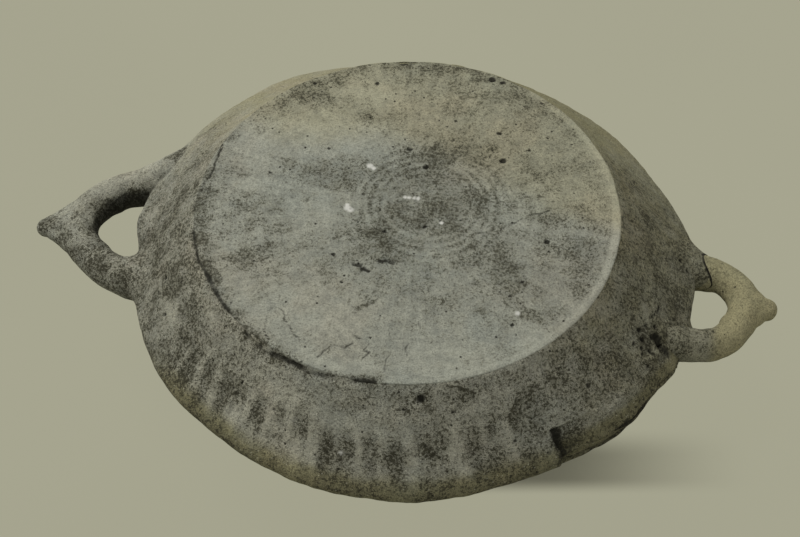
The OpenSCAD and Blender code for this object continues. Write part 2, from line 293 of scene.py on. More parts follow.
# azimuth, z, half width round the wall in mm, half height in mm, strength
WALL_STAINS = [
    (-167, 101, 12, 14, 0.8), (-155, 109, 12, 12, 0.7), (-155, 95, 12, 10, 0.7), (-141, 110, 14, 8, 0.5),
    (-145, 93, 10, 9, 0.7), (-164, 80, 14, 10, 0.6), (-175, 95, 10, 16, 0.7), (-138, 99, 7, 9, 0.7),
    (-128, 98, 6, 9, 0.8), (-124, 98, 4, 8, 0.9), (-117, 95, 5, 7, 0.8), (-103, 101, 5, 8, 0.7),
    (-98, 97, 6, 8, 0.9), (-93, 98, 6, 6, 0.8), (-85, 96, 8, 8, 0.9), (-77, 100, 7, 9, 0.9), (-69, 98, 7, 8, 0.8),
    (-63, 105, 6, 9, 0.6), (-59, 103, 5, 8, 0.7), (-55, 100, 5, 10, 0.7), (-75, 120, 30, 6, 0.9),
    (-100, 114, 30, 5, 0.4), (-50, 112, 20, 12, 0.5), (-35, 105, 24, 16, 0.7), (-15, 110, 22, 12, 0.6),
    (0, 104, 16, 16, 0.6), (12, 108, 16, 10, 0.5), (25, 106, 18, 14, 0.5), (-22, 92, 20, 10, 0.8),
    (-9, 92, 14, 10, 0.6), (40, 110, 20, 10, 0.3), (-20.5, 99, 9, 7, 1.3), (150, 100, 20, 12, 0.45),
    (165, 108, 14, 10, 0.6), (178, 112, 12, 10, 0.7), (-130, 112, 14, 6, 0.4), (-111, 94, 5, 6, 0.6),
    (-134, 92, 6, 7, 0.7),
    (-150, 84, 16, 7, 0.6), (-120, 82, 10, 6, 0.35), (100, 100, 40, 14, 0.35), (130, 112, 20, 8, 0.3),
    (-60, 86, 20, 8, 0.4), (-84, 84, 30, 7, 0.25), (140, 78, 16, 6, 0.4), (60, 90, 30, 12, 0.35),
]
WALL_PALE = [
    (-120.5, 89, 2.2, 8, 0.9), (-115.8, 93, 2.4, 9, 0.9), (-111, 95, 2.6, 9, 0.9), (-105.3, 92, 2.4, 11, 1),
    (-92.3, 106, 5, 4, 0.6), (-98, 108, 14, 5, 0.6), (-127, 90, 2, 8, 0.7), (-132, 93, 2, 8, 0.6),
    (-138, 96, 2, 8, 0.5), (-88, 92, 2, 8, 0.4), (-81, 95, 2, 8, 0.5), (-73, 98, 2.2, 8, 0.5),
    (-108, 112, 16, 6, 0.7), (-140, 118, 14, 3, 0.5), (-148, 101, 9, 5, 0.4), (-20, 84, 8, 4, 0.5),
    (55, 112, 26, 6, 0.4), (155, 86, 16, 8, 0.5), (-66, 104, 2.2, 8, 0.4),
]
# azimuth, z, radius
WALL_PITS = [
    (-78.3, 119.7, 2.3), (-82.4, 116, 1), (-71.4, 114, 1), (-21.8, 100, 1.6), (-19.5, 97, 1.7),
    (-22.7, 95, 1.5), (-20.6, 103, 1.5), (-24.6, 97, 1), (-26, 93.5, 1.2), (-17, 98, 1.2),
    (-49.6, 87.3, 1.5), (-18.4, 101.5, 1.2), (-23.6, 98.5, 1.3), (-17.6, 104.5, 1), (-24.4, 102, 1),
    (9.3, 80, 1.2), (4, 92.1, 1.2), (2.7, 88, 1.2), (-96, 90, 0.9), (-60, 96, 1), (-40, 104, 1),
    (-112, 104, 0.9), (-131, 105, 0.9), (-150, 98, 1.2), (30, 112, 0.9), (-158, 104, 1.3),
]
# width and places in azimuth, z
WALL_CRACKS = [
    (1.5, [(-18.6, 96), (-20.2, 92), (-20.6, 88), (-20, 84), (-18.8, 80.3), (-17, 75)]),
    (0.5, [(-16.2, 101.5), (-14, 99.8), (-11.5, 99.2)]),
    (2.4, [(-19.8, 91), (-19.3, 87), (-18.6, 82), (-17.4, 76)]),
    (0.45, [(-123.2, 101.5), (-121.8, 104), (-121, 107)]),
]

# Centre lines of the clay rolls, x, y, z and radius, from the far root to the near root
RIGHT_ROLL = [
    (132, 22, 78, 13), (141, 20, 77, 11.8), (148.7, 17.6, 76, 10.8), (156.8, 16, 76, 9.8),
    (165.3, 14, 76, 8.7), (172.6, 8, 76, 8.7), (176.8, -0.5, 76, 8.9), (176.4, -11, 76, 8.9),
    (171.4, -21.4, 76, 8.5), (164, -28.8, 76, 8.3), (155.4, -33, 77, 8.5), (146.5, -36, 80, 9),
    (140, -37.8, 83.5, 9), (135.5, -39, 86.5, 7.4),
]
LEFT_ROLL = [
    (-132, 50.5, 80.5, 13.5), (-143.5, 43.8, 78.5, 12.4), (-152.5, 38.4, 77, 11.6), (-161.5, 33.6, 76.2, 10.8),
    (-171, 29.4, 76, 10), (-179.8, 21.4, 76, 9.8), (-186.2, 10.2, 76, 10), (-187.6, -1, 76, 10.2),
    (-182.8, -11.8, 76, 9.8), (-174.2, -20.4, 76, 9.4), (-165.2, -26.6, 76, 9.6), (-156.6, -30.2, 76, 10.4),
    (-148, -31.8, 76, 11.8), (-134, -33, 77, 13.4),
]


class Sock:
    """A socket of a node, with which sums can be written."""

    def __init__(self, nodes, socket):
        self.nodes, self.socket = nodes, socket

    def _math(self, operation, *others, clamp=False):
        settings = {"operation": operation, "use_clamp": clamp}
        return self.nodes.add("ShaderNodeMath", settings, dict(enumerate(others)))

    __add__ = __radd__ = lambda self, other: self._math("ADD", self, other)
    __sub__ = lambda self, other: self._math("SUBTRACT", self, other)
    __rsub__ = lambda self, other: self._math("SUBTRACT", other, self)
    __mul__ = __rmul__ = lambda self, other: self._math("MULTIPLY", self, other)
    __truediv__ = lambda self, other: self._math("DIVIDE", self, other)

    def call(self, operation, *others):
        """Another Math operation, such as SINE or POWER."""
        return self._math(operation, self, *others)

    def clamped(self):
        return self._math("ADD", self, 0.0, clamp=True)

    def fade(self, low, high, bottom=0.0, top=1.0):
        """A smooth rise from bottom to top between two values."""
        values = {"Value": self, "From Min": low, "From Max": high, "To Min": bottom, "To Max": top}
        return self.nodes.add("ShaderNodeMapRange", {"interpolation_type": "SMOOTHSTEP"}, values)

    def vector(self, operation, other=None, scale=None):
        """A Vector Math operation on this socket."""
        values = {0: self}
        if other is not None:
            values[1] = other
        if scale is not None:
            values["Scale"] = scale
        return self.nodes.add("ShaderNodeVectorMath", {"operation": operation}, values)


class Nodes:
    """A node tree, to which nodes are added with their settings and values."""

    def __init__(self, tree):
        self.tree = tree

    def add(self, kind, settings=None, values=None, out=0):
        made = self.tree.nodes.new(kind)
        for key, value in (settings or {}).items():
            setattr(made, key, value)
        for key, value in (values or {}).items():
            if isinstance(value, Sock):
                self.tree.links.new(value.socket, made.inputs[key])
            else:
                made.inputs[key].default_value = value
        return Sock(self, made.outputs[out]) if made.outputs else None

    def mix(self, factor, first, second):
        """A colour between two colours."""
        settings = {"data_type": "RGBA", "clamp_factor": True}
        return self.add("ShaderNodeMix", settings, {0: factor, 6: first, 7: second}, out=2)

    def noise(self, place, size, detail=2.0, roughness=0.5):
        """Noise from 0 to 1 with features of a size in millimetres."""
        values = {"Vector": place, "Scale": 1.0 / size, "Detail": detail, "Roughness": roughness}
        return self.add("ShaderNodeTexNoise", {}, values)

    def attribute(self, name):
        return self.add("ShaderNodeAttribute", {"attribute_name": name}, out="Fac")

    def join(self, x, y, z):
        return self.add("ShaderNodeCombineXYZ", {}, {0: x, 1: y, 2: z})

    def part(self, vector, axis):
        """One coordinate of a vector, 0 for X to 2 for Z."""
        return self.add("ShaderNodeSeparateXYZ", {}, {0: vector}, out=axis)


def with_nodes(data):
    """The emptied node tree of a new material or world."""
    data.use_nodes = True
    data.node_tree.nodes.clear()
    return Nodes(data.node_tree)


# Materials

def rgba(colour, share=1.0):
    """A share of a colour, opaque."""
    return (*(min(1.0, c * share) for c in colour), 1.0)


def clay(name, first, second, dark, stains=1.0, streaks=0.0, rings=0.0, sand=1.0, crisp=1.0):
    """Coarse fired clay of two pairs of tones, mottled, peppered where it is stained and where shade is painted, pitted
    and cracked.
    """
    material = bpy.data.materials.new(name)
    n = with_nodes(material)
    place = n.add("ShaderNodeTexCoord", out="Object").vector("SCALE", scale=1 / MM)
    x, y = n.part(place, 0), n.part(place, 1)
    big = n.noise(place, 48.0, 2.0)
    medium = n.noise(place, 14.0, 3.0, 0.6)
    small = n.noise(place, 4.0, 3.0, 0.6)
    web = n.noise(place.vector("ADD", (70.0, 20.0, 50.0)), 8.5, 7.0, 0.74)
    flakes = n.noise(place.vector("ADD", (15.0, 45.0, 85.0)), 4.4, 5.0, 0.72)
    grain = n.noise(place, 1.5, 3.0, 0.7)
    sandy = n.noise(place, 0.8, 2.0, 0.6)
    tint = n.noise(place.vector("ADD", (310.0, 90.0, 40.0)), 60.0, 3.0, 0.6)
    stain, pale_and_highlight, crack_and_shade, white, other = (n.attribute(a) for a in ("stain", "pale_and_highlight", "crack_and_shade", "white", "other"))
    crack_and_shade = (crack_and_shade * (0.6 + grain * 0.8)).fade(0.1, 0.9)

    # Each pair of tones mottled, paler where pale places and highlights are painted, and slow changes of tint
    mottle = (big - 0.5) * 0.6 + (medium - 0.5) * 0.9 + (small - 0.5) * 1.1 + (web - 0.5) * 1.0
    tone = (mottle + pale_and_highlight * 0.3).fade(-0.42, 0.38)
    turn = (other + (medium - 0.5) * 0.6).fade(0.1, 0.9)
    colour = n.mix(turn, n.mix(tone, rgba(first[1]), rgba(first[0])), n.mix(tone, rgba(second[1]), rgba(second[0])))
    pink = tint.fade(0.52, 0.64) * 0.5
    colour = n.mix(pink, colour, colour.vector("MULTIPLY", (1.05, 0.99, 0.95)))
    blue = tint.fade(0.48, 0.36) * 0.5
    colour = n.mix(blue, colour, colour.vector("MULTIPLY", (0.96, 1.0, 1.04)))

    # Dirt and painted shade, drawn out along spokes and wheel rings, as smudges, blots, hair lines, pepper and soot
    dirt_and_shade = stain * stains + (medium - 0.5) * 0.7 + (big - 0.5) * 0.3 - pale_and_highlight * 0.5
    wheel = 0.0
    if streaks or rings:
        radius = (x * x + y * y).call("SQRT")
        turn_x, turn_y = x / (radius + 1.0), y / (radius + 1.0)
        if streaks:
            spoke = n.join(turn_x * 24.0, turn_y * 24.0, radius / 36.0)
            dirt_and_shade = dirt_and_shade + (n.noise(spoke, 1.0, 3.0) - 0.5) * streaks * radius.fade(15.0, 60.0)
        if rings:
            hoop = n.join(turn_x * 2.2, turn_y * 2.2, radius / 2.8)
            wheel = (n.noise(hoop, 1.0, 2.0) - 0.5) * rings
            dirt_and_shade = dirt_and_shade + wheel
    dirt_and_shade = dirt_and_shade.clamped()
    smudge = (web + (dirt_and_shade - 0.3) * 0.26 + (small - 0.5) * 0.3).fade(0.44, 0.78)
    blots = (flakes * 0.55 + web * 0.25 + grain * 0.2 + (dirt_and_shade - 0.35) * 0.1).fade(0.545, 0.65)
    pepper = (grain * 0.76 + web * 0.24 + (dirt_and_shade - 0.3) * 0.08).fade(0.54, 0.58)
    soot = (sandy * 0.75 + flakes * 0.25 + (dirt_and_shade - 0.4) * 0.08).fade(0.555, 0.6)
    lace = (web - 0.5).call("ABSOLUTE").fade(0.022, 0.004) * (flakes + (dirt_and_shade - 0.5) * 0.3).fade(0.4, 0.58)
    for layer, depth in ((smudge * 0.5, 1.7), (blots * dirt_and_shade.fade(0.0, 0.9, 0.15, 0.55), 1.35),
                         (lace * 0.4 * crisp, 1.0), (pepper * dirt_and_shade.fade(0.0, 0.7, 0.3, 0.85) * crisp, 1.0),
                         (soot * dirt_and_shade.fade(0.0, 0.7, 0.25, 0.85) * crisp, 0.5)):
        colour = n.mix(layer, colour, rgba(dark, depth))
    shade = 1.0 + sandy.fade(0.25, 0.75, -0.4, 0.4) * sand * (1.0 - pale_and_highlight * 0.6)
    colour = colour.vector("MULTIPLY", n.join(shade, shade, shade))

    # Small pits, light grit, cracks with the painted shade laid on with them, and white specks
    specks = {"Vector": place, "Scale": 1 / 5.2, "Randomness": 1.0}
    speck = n.add("ShaderNodeTexVoronoi", {}, specks)
    chance = n.part(n.add("ShaderNodeTexVoronoi", {}, specks, out="Color"), 0)
    pit = (speck + (grain - 0.5) * 0.16).fade(0.13, 0.07) * chance.fade(0.5, 0.8)
    colour = n.mix(pit * 0.9, colour, rgba(dark, 0.35))
    grit = n.add("ShaderNodeTexVoronoi", {}, {"Vector": place, "Scale": 1 / 2.6})
    colour = n.mix(grit.fade(0.16, 0.06) * 0.3 * sand, colour, rgba(first[0], 1.45))
    colour = n.mix(crack_and_shade * 0.93, colour, rgba(dark, 0.25))
    colour = n.mix(white, colour, (0.55, 0.55, 0.50, 1.0))

    height = small * 0.5 + web * 0.7 + flakes * 0.4 + grain * 0.5 * sand + sandy * 0.12 * sand
    height = height - pit * 0.6 - crack_and_shade * 0.4 + wheel
    bump = n.add("ShaderNodeBump", {}, {"Strength": 1.0, "Distance": MM, "Height": height}, out="Normal")
    shader = n.add("ShaderNodeBsdfPrincipled", {}, {
        "Base Color": colour, "Roughness": medium.fade(0.3, 0.7, 0.82, 0.95), "Normal": bump,
        "Specular IOR Level": 0.2})
    n.add("ShaderNodeOutputMaterial", {}, {"Surface": shader})
    return material


# Geometry Nodes: a clay wall turned on the wheel

# name, kind of socket, default
TURNED_INPUTS = (
    ("Segments", "NodeSocketInt", 360), ("Start", "NodeSocketFloat", 0.0), ("Sweep", "NodeSocketFloat", 360.0),
    ("Ring Depth", "NodeSocketFloat", 0.0), ("Ring Pitch", "NodeSocketFloat", 4.0),
    ("Flute Depth", "NodeSocketFloat", 0.0), ("Flute Step", "NodeSocketFloat", 5.0),
    ("Flute From", "NodeSocketFloat", -143.0), ("Flute To", "NodeSocketFloat", -55.0),
    ("Flute Low", "NodeSocketFloat", 88.0), ("Flute High", "NodeSocketFloat", 111.0),
    ("Seed", "NodeSocketInt", 5), ("Material", "NodeSocketMaterial", None),
)


def turned_tree():
    """A tree that turns a profile of points round Z, with throwing rings and finger flutes."""
    tree = bpy.data.node_groups.get("turned_clay")
    if tree:
        return tree
    tree = bpy.data.node_groups.new("turned_clay", "GeometryNodeTree")
    tree.interface.new_socket("Geometry", in_out="INPUT", socket_type="NodeSocketGeometry")
    for name, kind, default in TURNED_INPUTS:
        socket = tree.interface.new_socket(name, in_out="INPUT", socket_type=kind)
        if default is not None:
            socket.default_value = default
    tree.interface.new_socket("Geometry", in_out="OUTPUT", socket_type="NodeSocketGeometry")
    n = Nodes(tree)
    given = tree.nodes.new("NodeGroupInput")
    take = {s.name: Sock(n, s) for s in given.outputs if s.name}
    rows = n.add("GeometryNodeAttributeDomainSize", {"component": "MESH"}, {0: take["Geometry"]}, out="Point Count")
    segments = take["Segments"]
    grid = n.add("GeometryNodeMeshGrid", {}, {
        "Size X": segments, "Size Y": rows - 1.0, "Vertices X": segments + 1.0, "Vertices Y": rows})
    position = n.add("GeometryNodeInputPosition")
    column = n.part(position, 0) + segments / 2.0
    row = (n.part(position, 1) + (rows - 1.0) / 2.0 + 0.5).call("FLOOR")

    def sampled(kind, value):
        settings = {"data_type": kind, "domain": "POINT"}
        return n.add("GeometryNodeSampleIndex", settings, {"Geometry": take["Geometry"], "Value": value, "Index": row})

    def profile(kind, name):
        values = {"Name": name}
        return sampled(kind, n.add("GeometryNodeInputNamedAttribute", {"data_type": kind}, values))

    at = sampled("FLOAT_VECTOR", position)
    out = profile("FLOAT_VECTOR", "out")
    skin, run = profile("FLOAT", "skin"), profile("FLOAT", "run")
    degrees = take["Start"] + take["Sweep"] * column / segments
    angle = degrees * (math.pi / 180)

    # The potter's fingers draw a spiral of shallow rings up the wall
    spiral = (run / take["Ring Pitch"] + degrees / 360.0) * (2 * math.pi)
    rings = spiral.call("SINE") * take["Ring Depth"] * skin

    # One stroke of a finger a flute, each of its own length and depth
    count = (degrees - take["Flute From"]) / take["Flute Step"]
    number = count.call("FLOOR")
    across = count - number
    chance, other = (
        n.add("FunctionNodeRandomValue", {"data_type": "FLOAT"}, {2: low, 3: 1.0, "ID": number, "Seed": seed}, out=1)
        for low, seed in ((0.25, take["Seed"]), (-1.0, take["Seed"] + 1.0)))
    height = n.part(at, 2) * (1 / MM)
    centre = other * 0.15 + 0.5
    off_centre = (across - centre).call("ABSOLUTE")
    hollow = off_centre.fade(0.46, 0.06)
    low, high = take["Flute Low"] - other * 4.0, take["Flute High"] - chance * 10.0 + 6.0
    stroke = height.fade(low - 5.0, low + 6.0) * height.fade(high, high - 9.0)
    first, last = take["Flute From"], take["Flute To"]
    span = degrees.fade(first - 1.0, first + 6.0) * degrees.fade(last + 4.0, last - 3.0) \
        * degrees.fade(first + 22.0, last - 10.0, 1.0, 0.5)
    flutes = hollow * stroke * span * chance * take["Flute Depth"] * skin
    crest = 1.0 - hollow
    ridges = crest.call("POWER", 6.0) * stroke * span * (1.3 - chance * 0.8) * take["Flute Depth"].call("MINIMUM", 1.0)

    lifted = at.vector("ADD", out.vector("SCALE", scale=(rings - flutes) * MM))
    spun, facing = (n.add("ShaderNodeVectorRotate", {"rotation_type": "Z_AXIS"}, {"Vector": vector, "Angle": angle})
                    for vector in (lifted, out))
    shape = grid
    for name, kind, value in (("skin", "FLOAT", skin), ("out", "FLOAT_VECTOR", facing), ("dip", "FLOAT", flutes),
                              ("ridge", "FLOAT", ridges)):
        settings = {"data_type": kind, "domain": "POINT"}
        shape = n.add("GeometryNodeStoreNamedAttribute", settings, {"Geometry": shape, "Name": name, "Value": value})
    for kind, values in (("SetPosition", {"Position": spun}), ("MergeByDistance", {"Distance": 2e-6}),
                         ("SetShadeSmooth", {}), ("RealizeInstances", {}),
                         ("SetMaterial", {"Material": take["Material"]})):
        shape = n.add("GeometryNode" + kind, {}, {"Geometry": shape, **values})
    end = tree.nodes.new("NodeGroupOutput")
    tree.links.new(shape.socket, end.inputs[0])
    return tree


def profile_mesh(name, points, skin):
    """The turned profile as a line of vertices, with what the tree reads from each of them."""
    points = np.array(points, float)
    count = len(points)
    mesh = bpy.data.meshes.new(name)
    mesh.from_pydata([(r * MM, 0.0, z * MM) for r, z in points], [(k, k + 1) for k in range(count - 1)], [])
    ahead = np.roll(points, -1, 0) - np.roll(points, 1, 0)
    ahead[0], ahead[-1] = points[1] - points[0], points[-1] - points[-2]
    ahead /= np.maximum(np.linalg.norm(ahead, axis=1), 1e-9)[:, None]
    run = np.r_[0.0, np.cumsum(np.linalg.norm(np.diff(points, axis=0), axis=1))]
    out = np.stack([ahead[:, 1], np.zeros(count), -ahead[:, 0]], 1)
    out[np.abs(points[:, 1] - BAND_TOP) < 0.2] = (FRONT_OUT[0], 0.0, FRONT_OUT[1])
    for key, kind, values in (("skin", "FLOAT", skin), ("run", "FLOAT", run), ("out", "FLOAT_VECTOR", out)):
        layer = mesh.attributes.new(key, kind, "POINT")
        layer.data.foreach_set("vector" if kind == "FLOAT_VECTOR" else "value", np.array(values, np.float32).ravel())
    return mesh


def new_object(name, data):
    made = bpy.data.objects.new(name, data)
    bpy.context.scene.collection.objects.link(made)
    return made


def turned(name, points, skin, material, **inputs):
    """A turned piece as a plain mesh object, its pattern evaluated and its modifier gone."""
    source = new_object(name + "_profile", profile_mesh(name + "_profile", points, skin))
    modifier = source.modifiers.new("turned", "NODES")
    modifier.node_group = turned_tree()
    inputs["Material"] = material
    for socket in modifier.node_group.interface.items_tree:
        if socket.in_out == "INPUT" and socket.name in inputs:
            modifier[socket.identifier] = inputs[socket.name]
    return plain_mesh(source)


def plain_mesh(source):
    """The evaluated mesh of an object, which goes with its modifiers."""
    bpy.context.view_layer.update()
    mesh = bpy.data.meshes.new_from_object(source.evaluated_get(bpy.context.evaluated_depsgraph_get()))
    bpy.data.objects.remove(source)
    return mesh


# Meshes as arrays of points in millimetres

def read_vectors(items, name):
    flat = np.empty(len(items) * 3, np.float32)
    items.foreach_get(name, flat)
    return flat.reshape(-1, 3).astype(float)


def read_points(mesh):
    return read_vectors(mesh.vertices, "co") / MM


def read_normals(mesh):
    return read_vectors(mesh.vertex_normals, "vector")


def read_outs(mesh):
    """The way out of the turned surface, stored by its tree."""
    return read_vectors(mesh.attributes["out"].data, "vector")


def read_layer(mesh, name):
    """A number a vertex, stored by the tree that turned the mesh."""
    flat = np.empty(len(mesh.vertices), np.float32)
    mesh.attributes[name].data.foreach_get("value", flat)
    return flat.astype(float)


def write_points(mesh, points):
    mesh.vertices.foreach_set("co", (points * MM).astype(np.float32).ravel())
    mesh.update()


def write_paint(mesh, paint):
    """The stained places, pale places, cracks and white specks, with painted shade and painted highlights among them,
    as attributes that the clay reads.
    """
    for name in ("stain", "pale_and_highlight", "crack_and_shade", "white", "other"):
        layer = mesh.attributes.get(name) or mesh.attributes.new(name, "FLOAT", "POINT")
        values = np.clip(paint.get(name, np.zeros(len(mesh.vertices))), 0, 1)
        layer.data.foreach_set("value", values.astype(np.float32))


def volume(mesh):
    """Signed volume, below zero where the faces point inwards."""
    mesh.calc_loop_triangles()
    corners = np.empty(len(mesh.loop_triangles) * 3, np.int32)
    mesh.loop_triangles.foreach_get("vertices", corners)
    a, b, c = read_points(mesh)[corners.reshape(-1, 3)].transpose(1, 0, 2)
    return float(np.einsum("ij,ij->i", a, np.cross(b, c)).sum()) / 6


def new_mesh(name, points, faces, material):
    mesh = bpy.data.meshes.new(name)
    mesh.from_pydata((np.asarray(points) * MM).tolist(), [], faces)
    mesh.materials.append(material)
    mesh.shade_smooth()
    mesh.update()
    return mesh


def finish_piece(name, mesh, slot, *nodes):
    """Puts a finished mesh into the scene as the piece that stands for CAD nodes."""
    if volume(mesh) < 0:
        mesh.flip_normals()
    mesh.name = name
    piece = new_object(name, mesh)
    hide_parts(*nodes)
    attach(piece, "root")
    return piece


# The unevenness of hand-made work

def settled(points, smeared=1.0):
    """The slow unevenness of the whole pot: one field for all pieces, so that they stay together."""
    sizes = bpy.context.scene.flask_body
    z, angle = points[:, 2], azimuth(points)
    r, outward = round_z(points)
    high = fade(z, SEAM_Z, FACE_Z)
    behind = turn_from(angle, 170)
    moved = points.copy()
    moved[:, 0] += sizes.face_shift_x / MM * high
    moved[:, 1] += sizes.face_shift_y / MM * high
    wobble = noise(points, 95, 3) * sizes.wobble / MM * fade(z, 0, 30) * fade(r, 10, 80)

    # Clay smeared on behind the left handle, above and beside it
    smear = fade(angle, 106, 128) * fade(angle, 168, 156) * fade(z, 62, 84) * fade(z, 121, 92) * fade(r, 100, 135)
    smear += 0.95 * fade(behind, -14, -3) * fade(behind, 17, 8) * bell(z, 79, 13) * fade(r, 120, 138)
    smear *= sizes.smear / MM * smeared

    # A swelling and a ledge at the right handle, the flatter far and near sides, and a face that isn't quite level
    swelling = 2.0 * bell(angle, 9, 5) * bell(z, 84, 14) * fade(r, 120, 140) * smeared
    ledge = 2.6 * bell(angle, -20.5, 4.5) * bell(z, 82, 8) * fade(r, 120, 140) * smeared
    far = 3.0 * fade(angle, 11, 30) * fade(angle, 84, 62) * fade(z, 50, 74) * fade(r, 108, 128) * smeared
    near = (1.8 * fade(angle, -140, -125) * fade(angle, -44, -52) + 2.8 * bell(angle, -61, 11)) \
        * fade(z, 50, 70) * fade(z, 114, 88) * fade(r, 108, 128) * smeared
    moved += outward * (wobble + smear + swelling + ledge - far - near)[:, None]
    waves = noise(points, 60, 9) * 0.35 * fade(r, 0, 40)
    moved[:, 2] += smear * 0.45 + swelling * 0.4 + (waves - FACE_DROP) * high
    return moved


def on_face(points):
    """Where points of the turned disc come to lie, seen from the front."""
    sizes = bpy.context.scene.flask_body
    return points[:, :2] + np.array([sizes.face_shift_x, sizes.face_shift_y]) / MM


def at_least(paint, name, values):
    """Lays more of one kind of paint where there is less than the values."""
    paint[name] = np.maximum(paint[name], values)


def bent(points, size, seeds):
    """Small shifts of places, one noise a direction, so that lines drawn over them aren't straight."""
    return np.stack([noise(points, size, seed) for seed in seeds], 1)


def hand_marks(points):
    """How far the worked surface stands out, in mm, at points of the outside."""
    return rough(points, 19, 3, 21) * 0.42 + rough(points, 4.6, 2, 40) * 0.16


def blobs(points, spots, flat):
    """Soft spots on the disc (flat) or on the wall, strongest where they are laid."""
    total = np.zeros(len(points))
    for spot in spots:
        if flat:
            x, y, length, width, turn, strength = spot
            c, s = math.cos(math.radians(turn)), math.sin(math.radians(turn))
            u = (points[:, 0] - x) * c + (points[:, 1] - y) * s
            v = -(points[:, 0] - x) * s + (points[:, 1] - y) * c
        else:
            angle, z, length, width, strength = spot
            u = np.radians(turn_from(azimuth(points), angle)) * front_r(z)
            v = (points[:, 2] - z) * 1.37
        total = np.maximum(total, strength * np.exp(-((u / length) ** 2 + (v / width) ** 2)))
    return total


def wall_paint(points, dip=None, ridge=None):
    """Stains and pale places of everything outside the disc, with painted shade along the body's low edge."""
    angle, z = azimuth(points), points[:, 2]
    uneven = 1 + 0.3 * noise(points, 9, 77)

    # How soiled and how olive the clay is on each side, by azimuth
    soiled = np.interp(angle, (-180, -150, -110, -60, -30, 10, 40, 80, 110, 150, 180),
                       (0.62, 0.60, 0.40, 0.40, 0.50, 0.52, 0.34, 0.28, 0.22, 0.28, 0.60))
    right = np.interp(angle, (-180, -60, -30, 30, 70, 100, 150, 180), (0, 0.1, 0.5, 0.7, 0.9, 0.7, 0.55, 0))
    front = fade(np.abs(turn_from(angle, -75)), 85, 55)
    # Painted shade along the low edge: the near side's low band and the bottom all round are painted darker and more
    # olive, and the near side's lowest edge darker still
    olive_and_low_shade = np.maximum(right, front * fade(z, 95, 82)) + fade(z, 72, 60) * 0.7
    paint = {
        "stain": (soiled + blobs(points, WALL_STAINS, False) * 0.42 + 0.1 * front * fade(z, 92, 80)) * uneven,
        "pale_and_highlight": np.maximum(blobs(points, WALL_PALE, False) * 0.9, 0.5 * fade(angle, 85, 110) * fade(angle, 165, 140)
                           + 0.6 * fade(angle, 18, 40) * fade(angle, 100, 80)),
        "other": olive_and_low_shade,
        "crack_and_shade": 0.5 * front * fade(z, 76, 68),
        "white": 0.9 * fade(np.linalg.norm(points - on_wall(-95.9, 96.4), axis=1), 1.5, 0.6),
    }
    if dip is not None:
        # The flute hollows are painted darker and their crests paler
        flute_patchiness = 1 + 0.7 * noise(points, 8, 88)
        paint["stain"] = paint["stain"] + np.clip(dip, 0, 1.4) * 0.4 * flute_patchiness
        paint["pale_and_highlight"] = np.maximum(paint["pale_and_highlight"], np.clip(ridge, 0, 1) * 0.7 * flute_patchiness)
    return paint


def disc_groove(points):
    """The groove along the disc's edge: its unevenness, the distance to it, its depth and its dark line."""
    uneven = 0.75 + 0.5 * noise(points, 6, 31)
    groove = line_distance(on_face(points), DISC_GROOVE)
    cut = fade(groove, 2.4, 0.3) * np.clip(uneven, 0.2, 1.2)
    return uneven, groove, cut, fade(groove, 1.9, 0.3) * np.clip(uneven - 0.1, 0.2, 0.85)


def lost_part(points):
    """Where the piece of the band is lost, and how much of it still stands there, in mm."""
    angle = azimuth(points)
    lost = fade(angle, LOST_TO - 0.5, LOST_TO + 0.5) * fade(angle, LOST_FROM + 1, LOST_FROM - 6)
    return lost, 3.0 * fade(angle, -47, -34) * fade(angle, -12, -16)


def wall_scars(points, outs, moved, paint):
    """Cracks and pits of the wall, pressed in and darkened."""
    for angle, height, size in WALL_PITS:
        away = np.linalg.norm(points - on_wall(angle, height), axis=1)
        pit = fade(away, size * 1.25, size * 0.45)
        moved -= outs * (pit * size * 0.9)[:, None]
        at_least(paint, "crack_and_shade", pit)
    shaken = points + 0.7 * bent(points, 3, (1, 2, 3))
    for width, places in WALL_CRACKS:
        away = line_distance(shaken, [on_wall(*place) for place in places])
        gash = fade(away, width * 1.9, width * 0.5)
        moved -= outs * (gash * width * 1.3)[:, None]
        at_least(paint, "crack_and_shade", gash)
    uneven, groove, cut, line = disc_groove(points)
    upper = fade(points[:, 2], 108, 116)
    moved -= outs * (cut * upper * 0.8)[:, None]
    at_least(paint, "stain", fade(groove, 6, 0.5) * upper * uneven * 0.9)
    at_least(paint, "crack_and_shade", line * fade(points[:, 2], 112, 118))


def shaped(mesh, paint_with, scar_with, marks=1.0):
    """Gives a turned mesh its slow unevenness, hand marks, scars and paint."""
    points, outs = read_points(mesh), read_outs(mesh)
    skin, dip, ridge = (read_layer(mesh, name) for name in ("skin", "dip", "ridge"))
    moved = settled(points) + outs * (hand_marks(points) * skin * marks)[:, None]
    paint = paint_with(points, dip, ridge)
    scar_with(points, outs * skin[:, None], moved, paint)
    write_points(mesh, moved)
    write_paint(mesh, paint)
    return mesh


# The pieces

def length_setting(name, description, default):
    return FloatProperty(name=name, description=description, default=default, unit="LENGTH", subtype="DISTANCE")


def number_setting(name, description, default, low=0.0, high=1000.0):
    return FloatProperty(name=name, description=description, default=default, min=low, max=high)


def angle_setting(name, description, degrees):
    return FloatProperty(name=name, description=description, default=math.radians(degrees), subtype="ANGLE")


def colour_setting(name, description, default):
    return FloatVectorProperty(name=name, description=description, default=default, size=3, min=0.0, max=1.0,
                               subtype="COLOR")


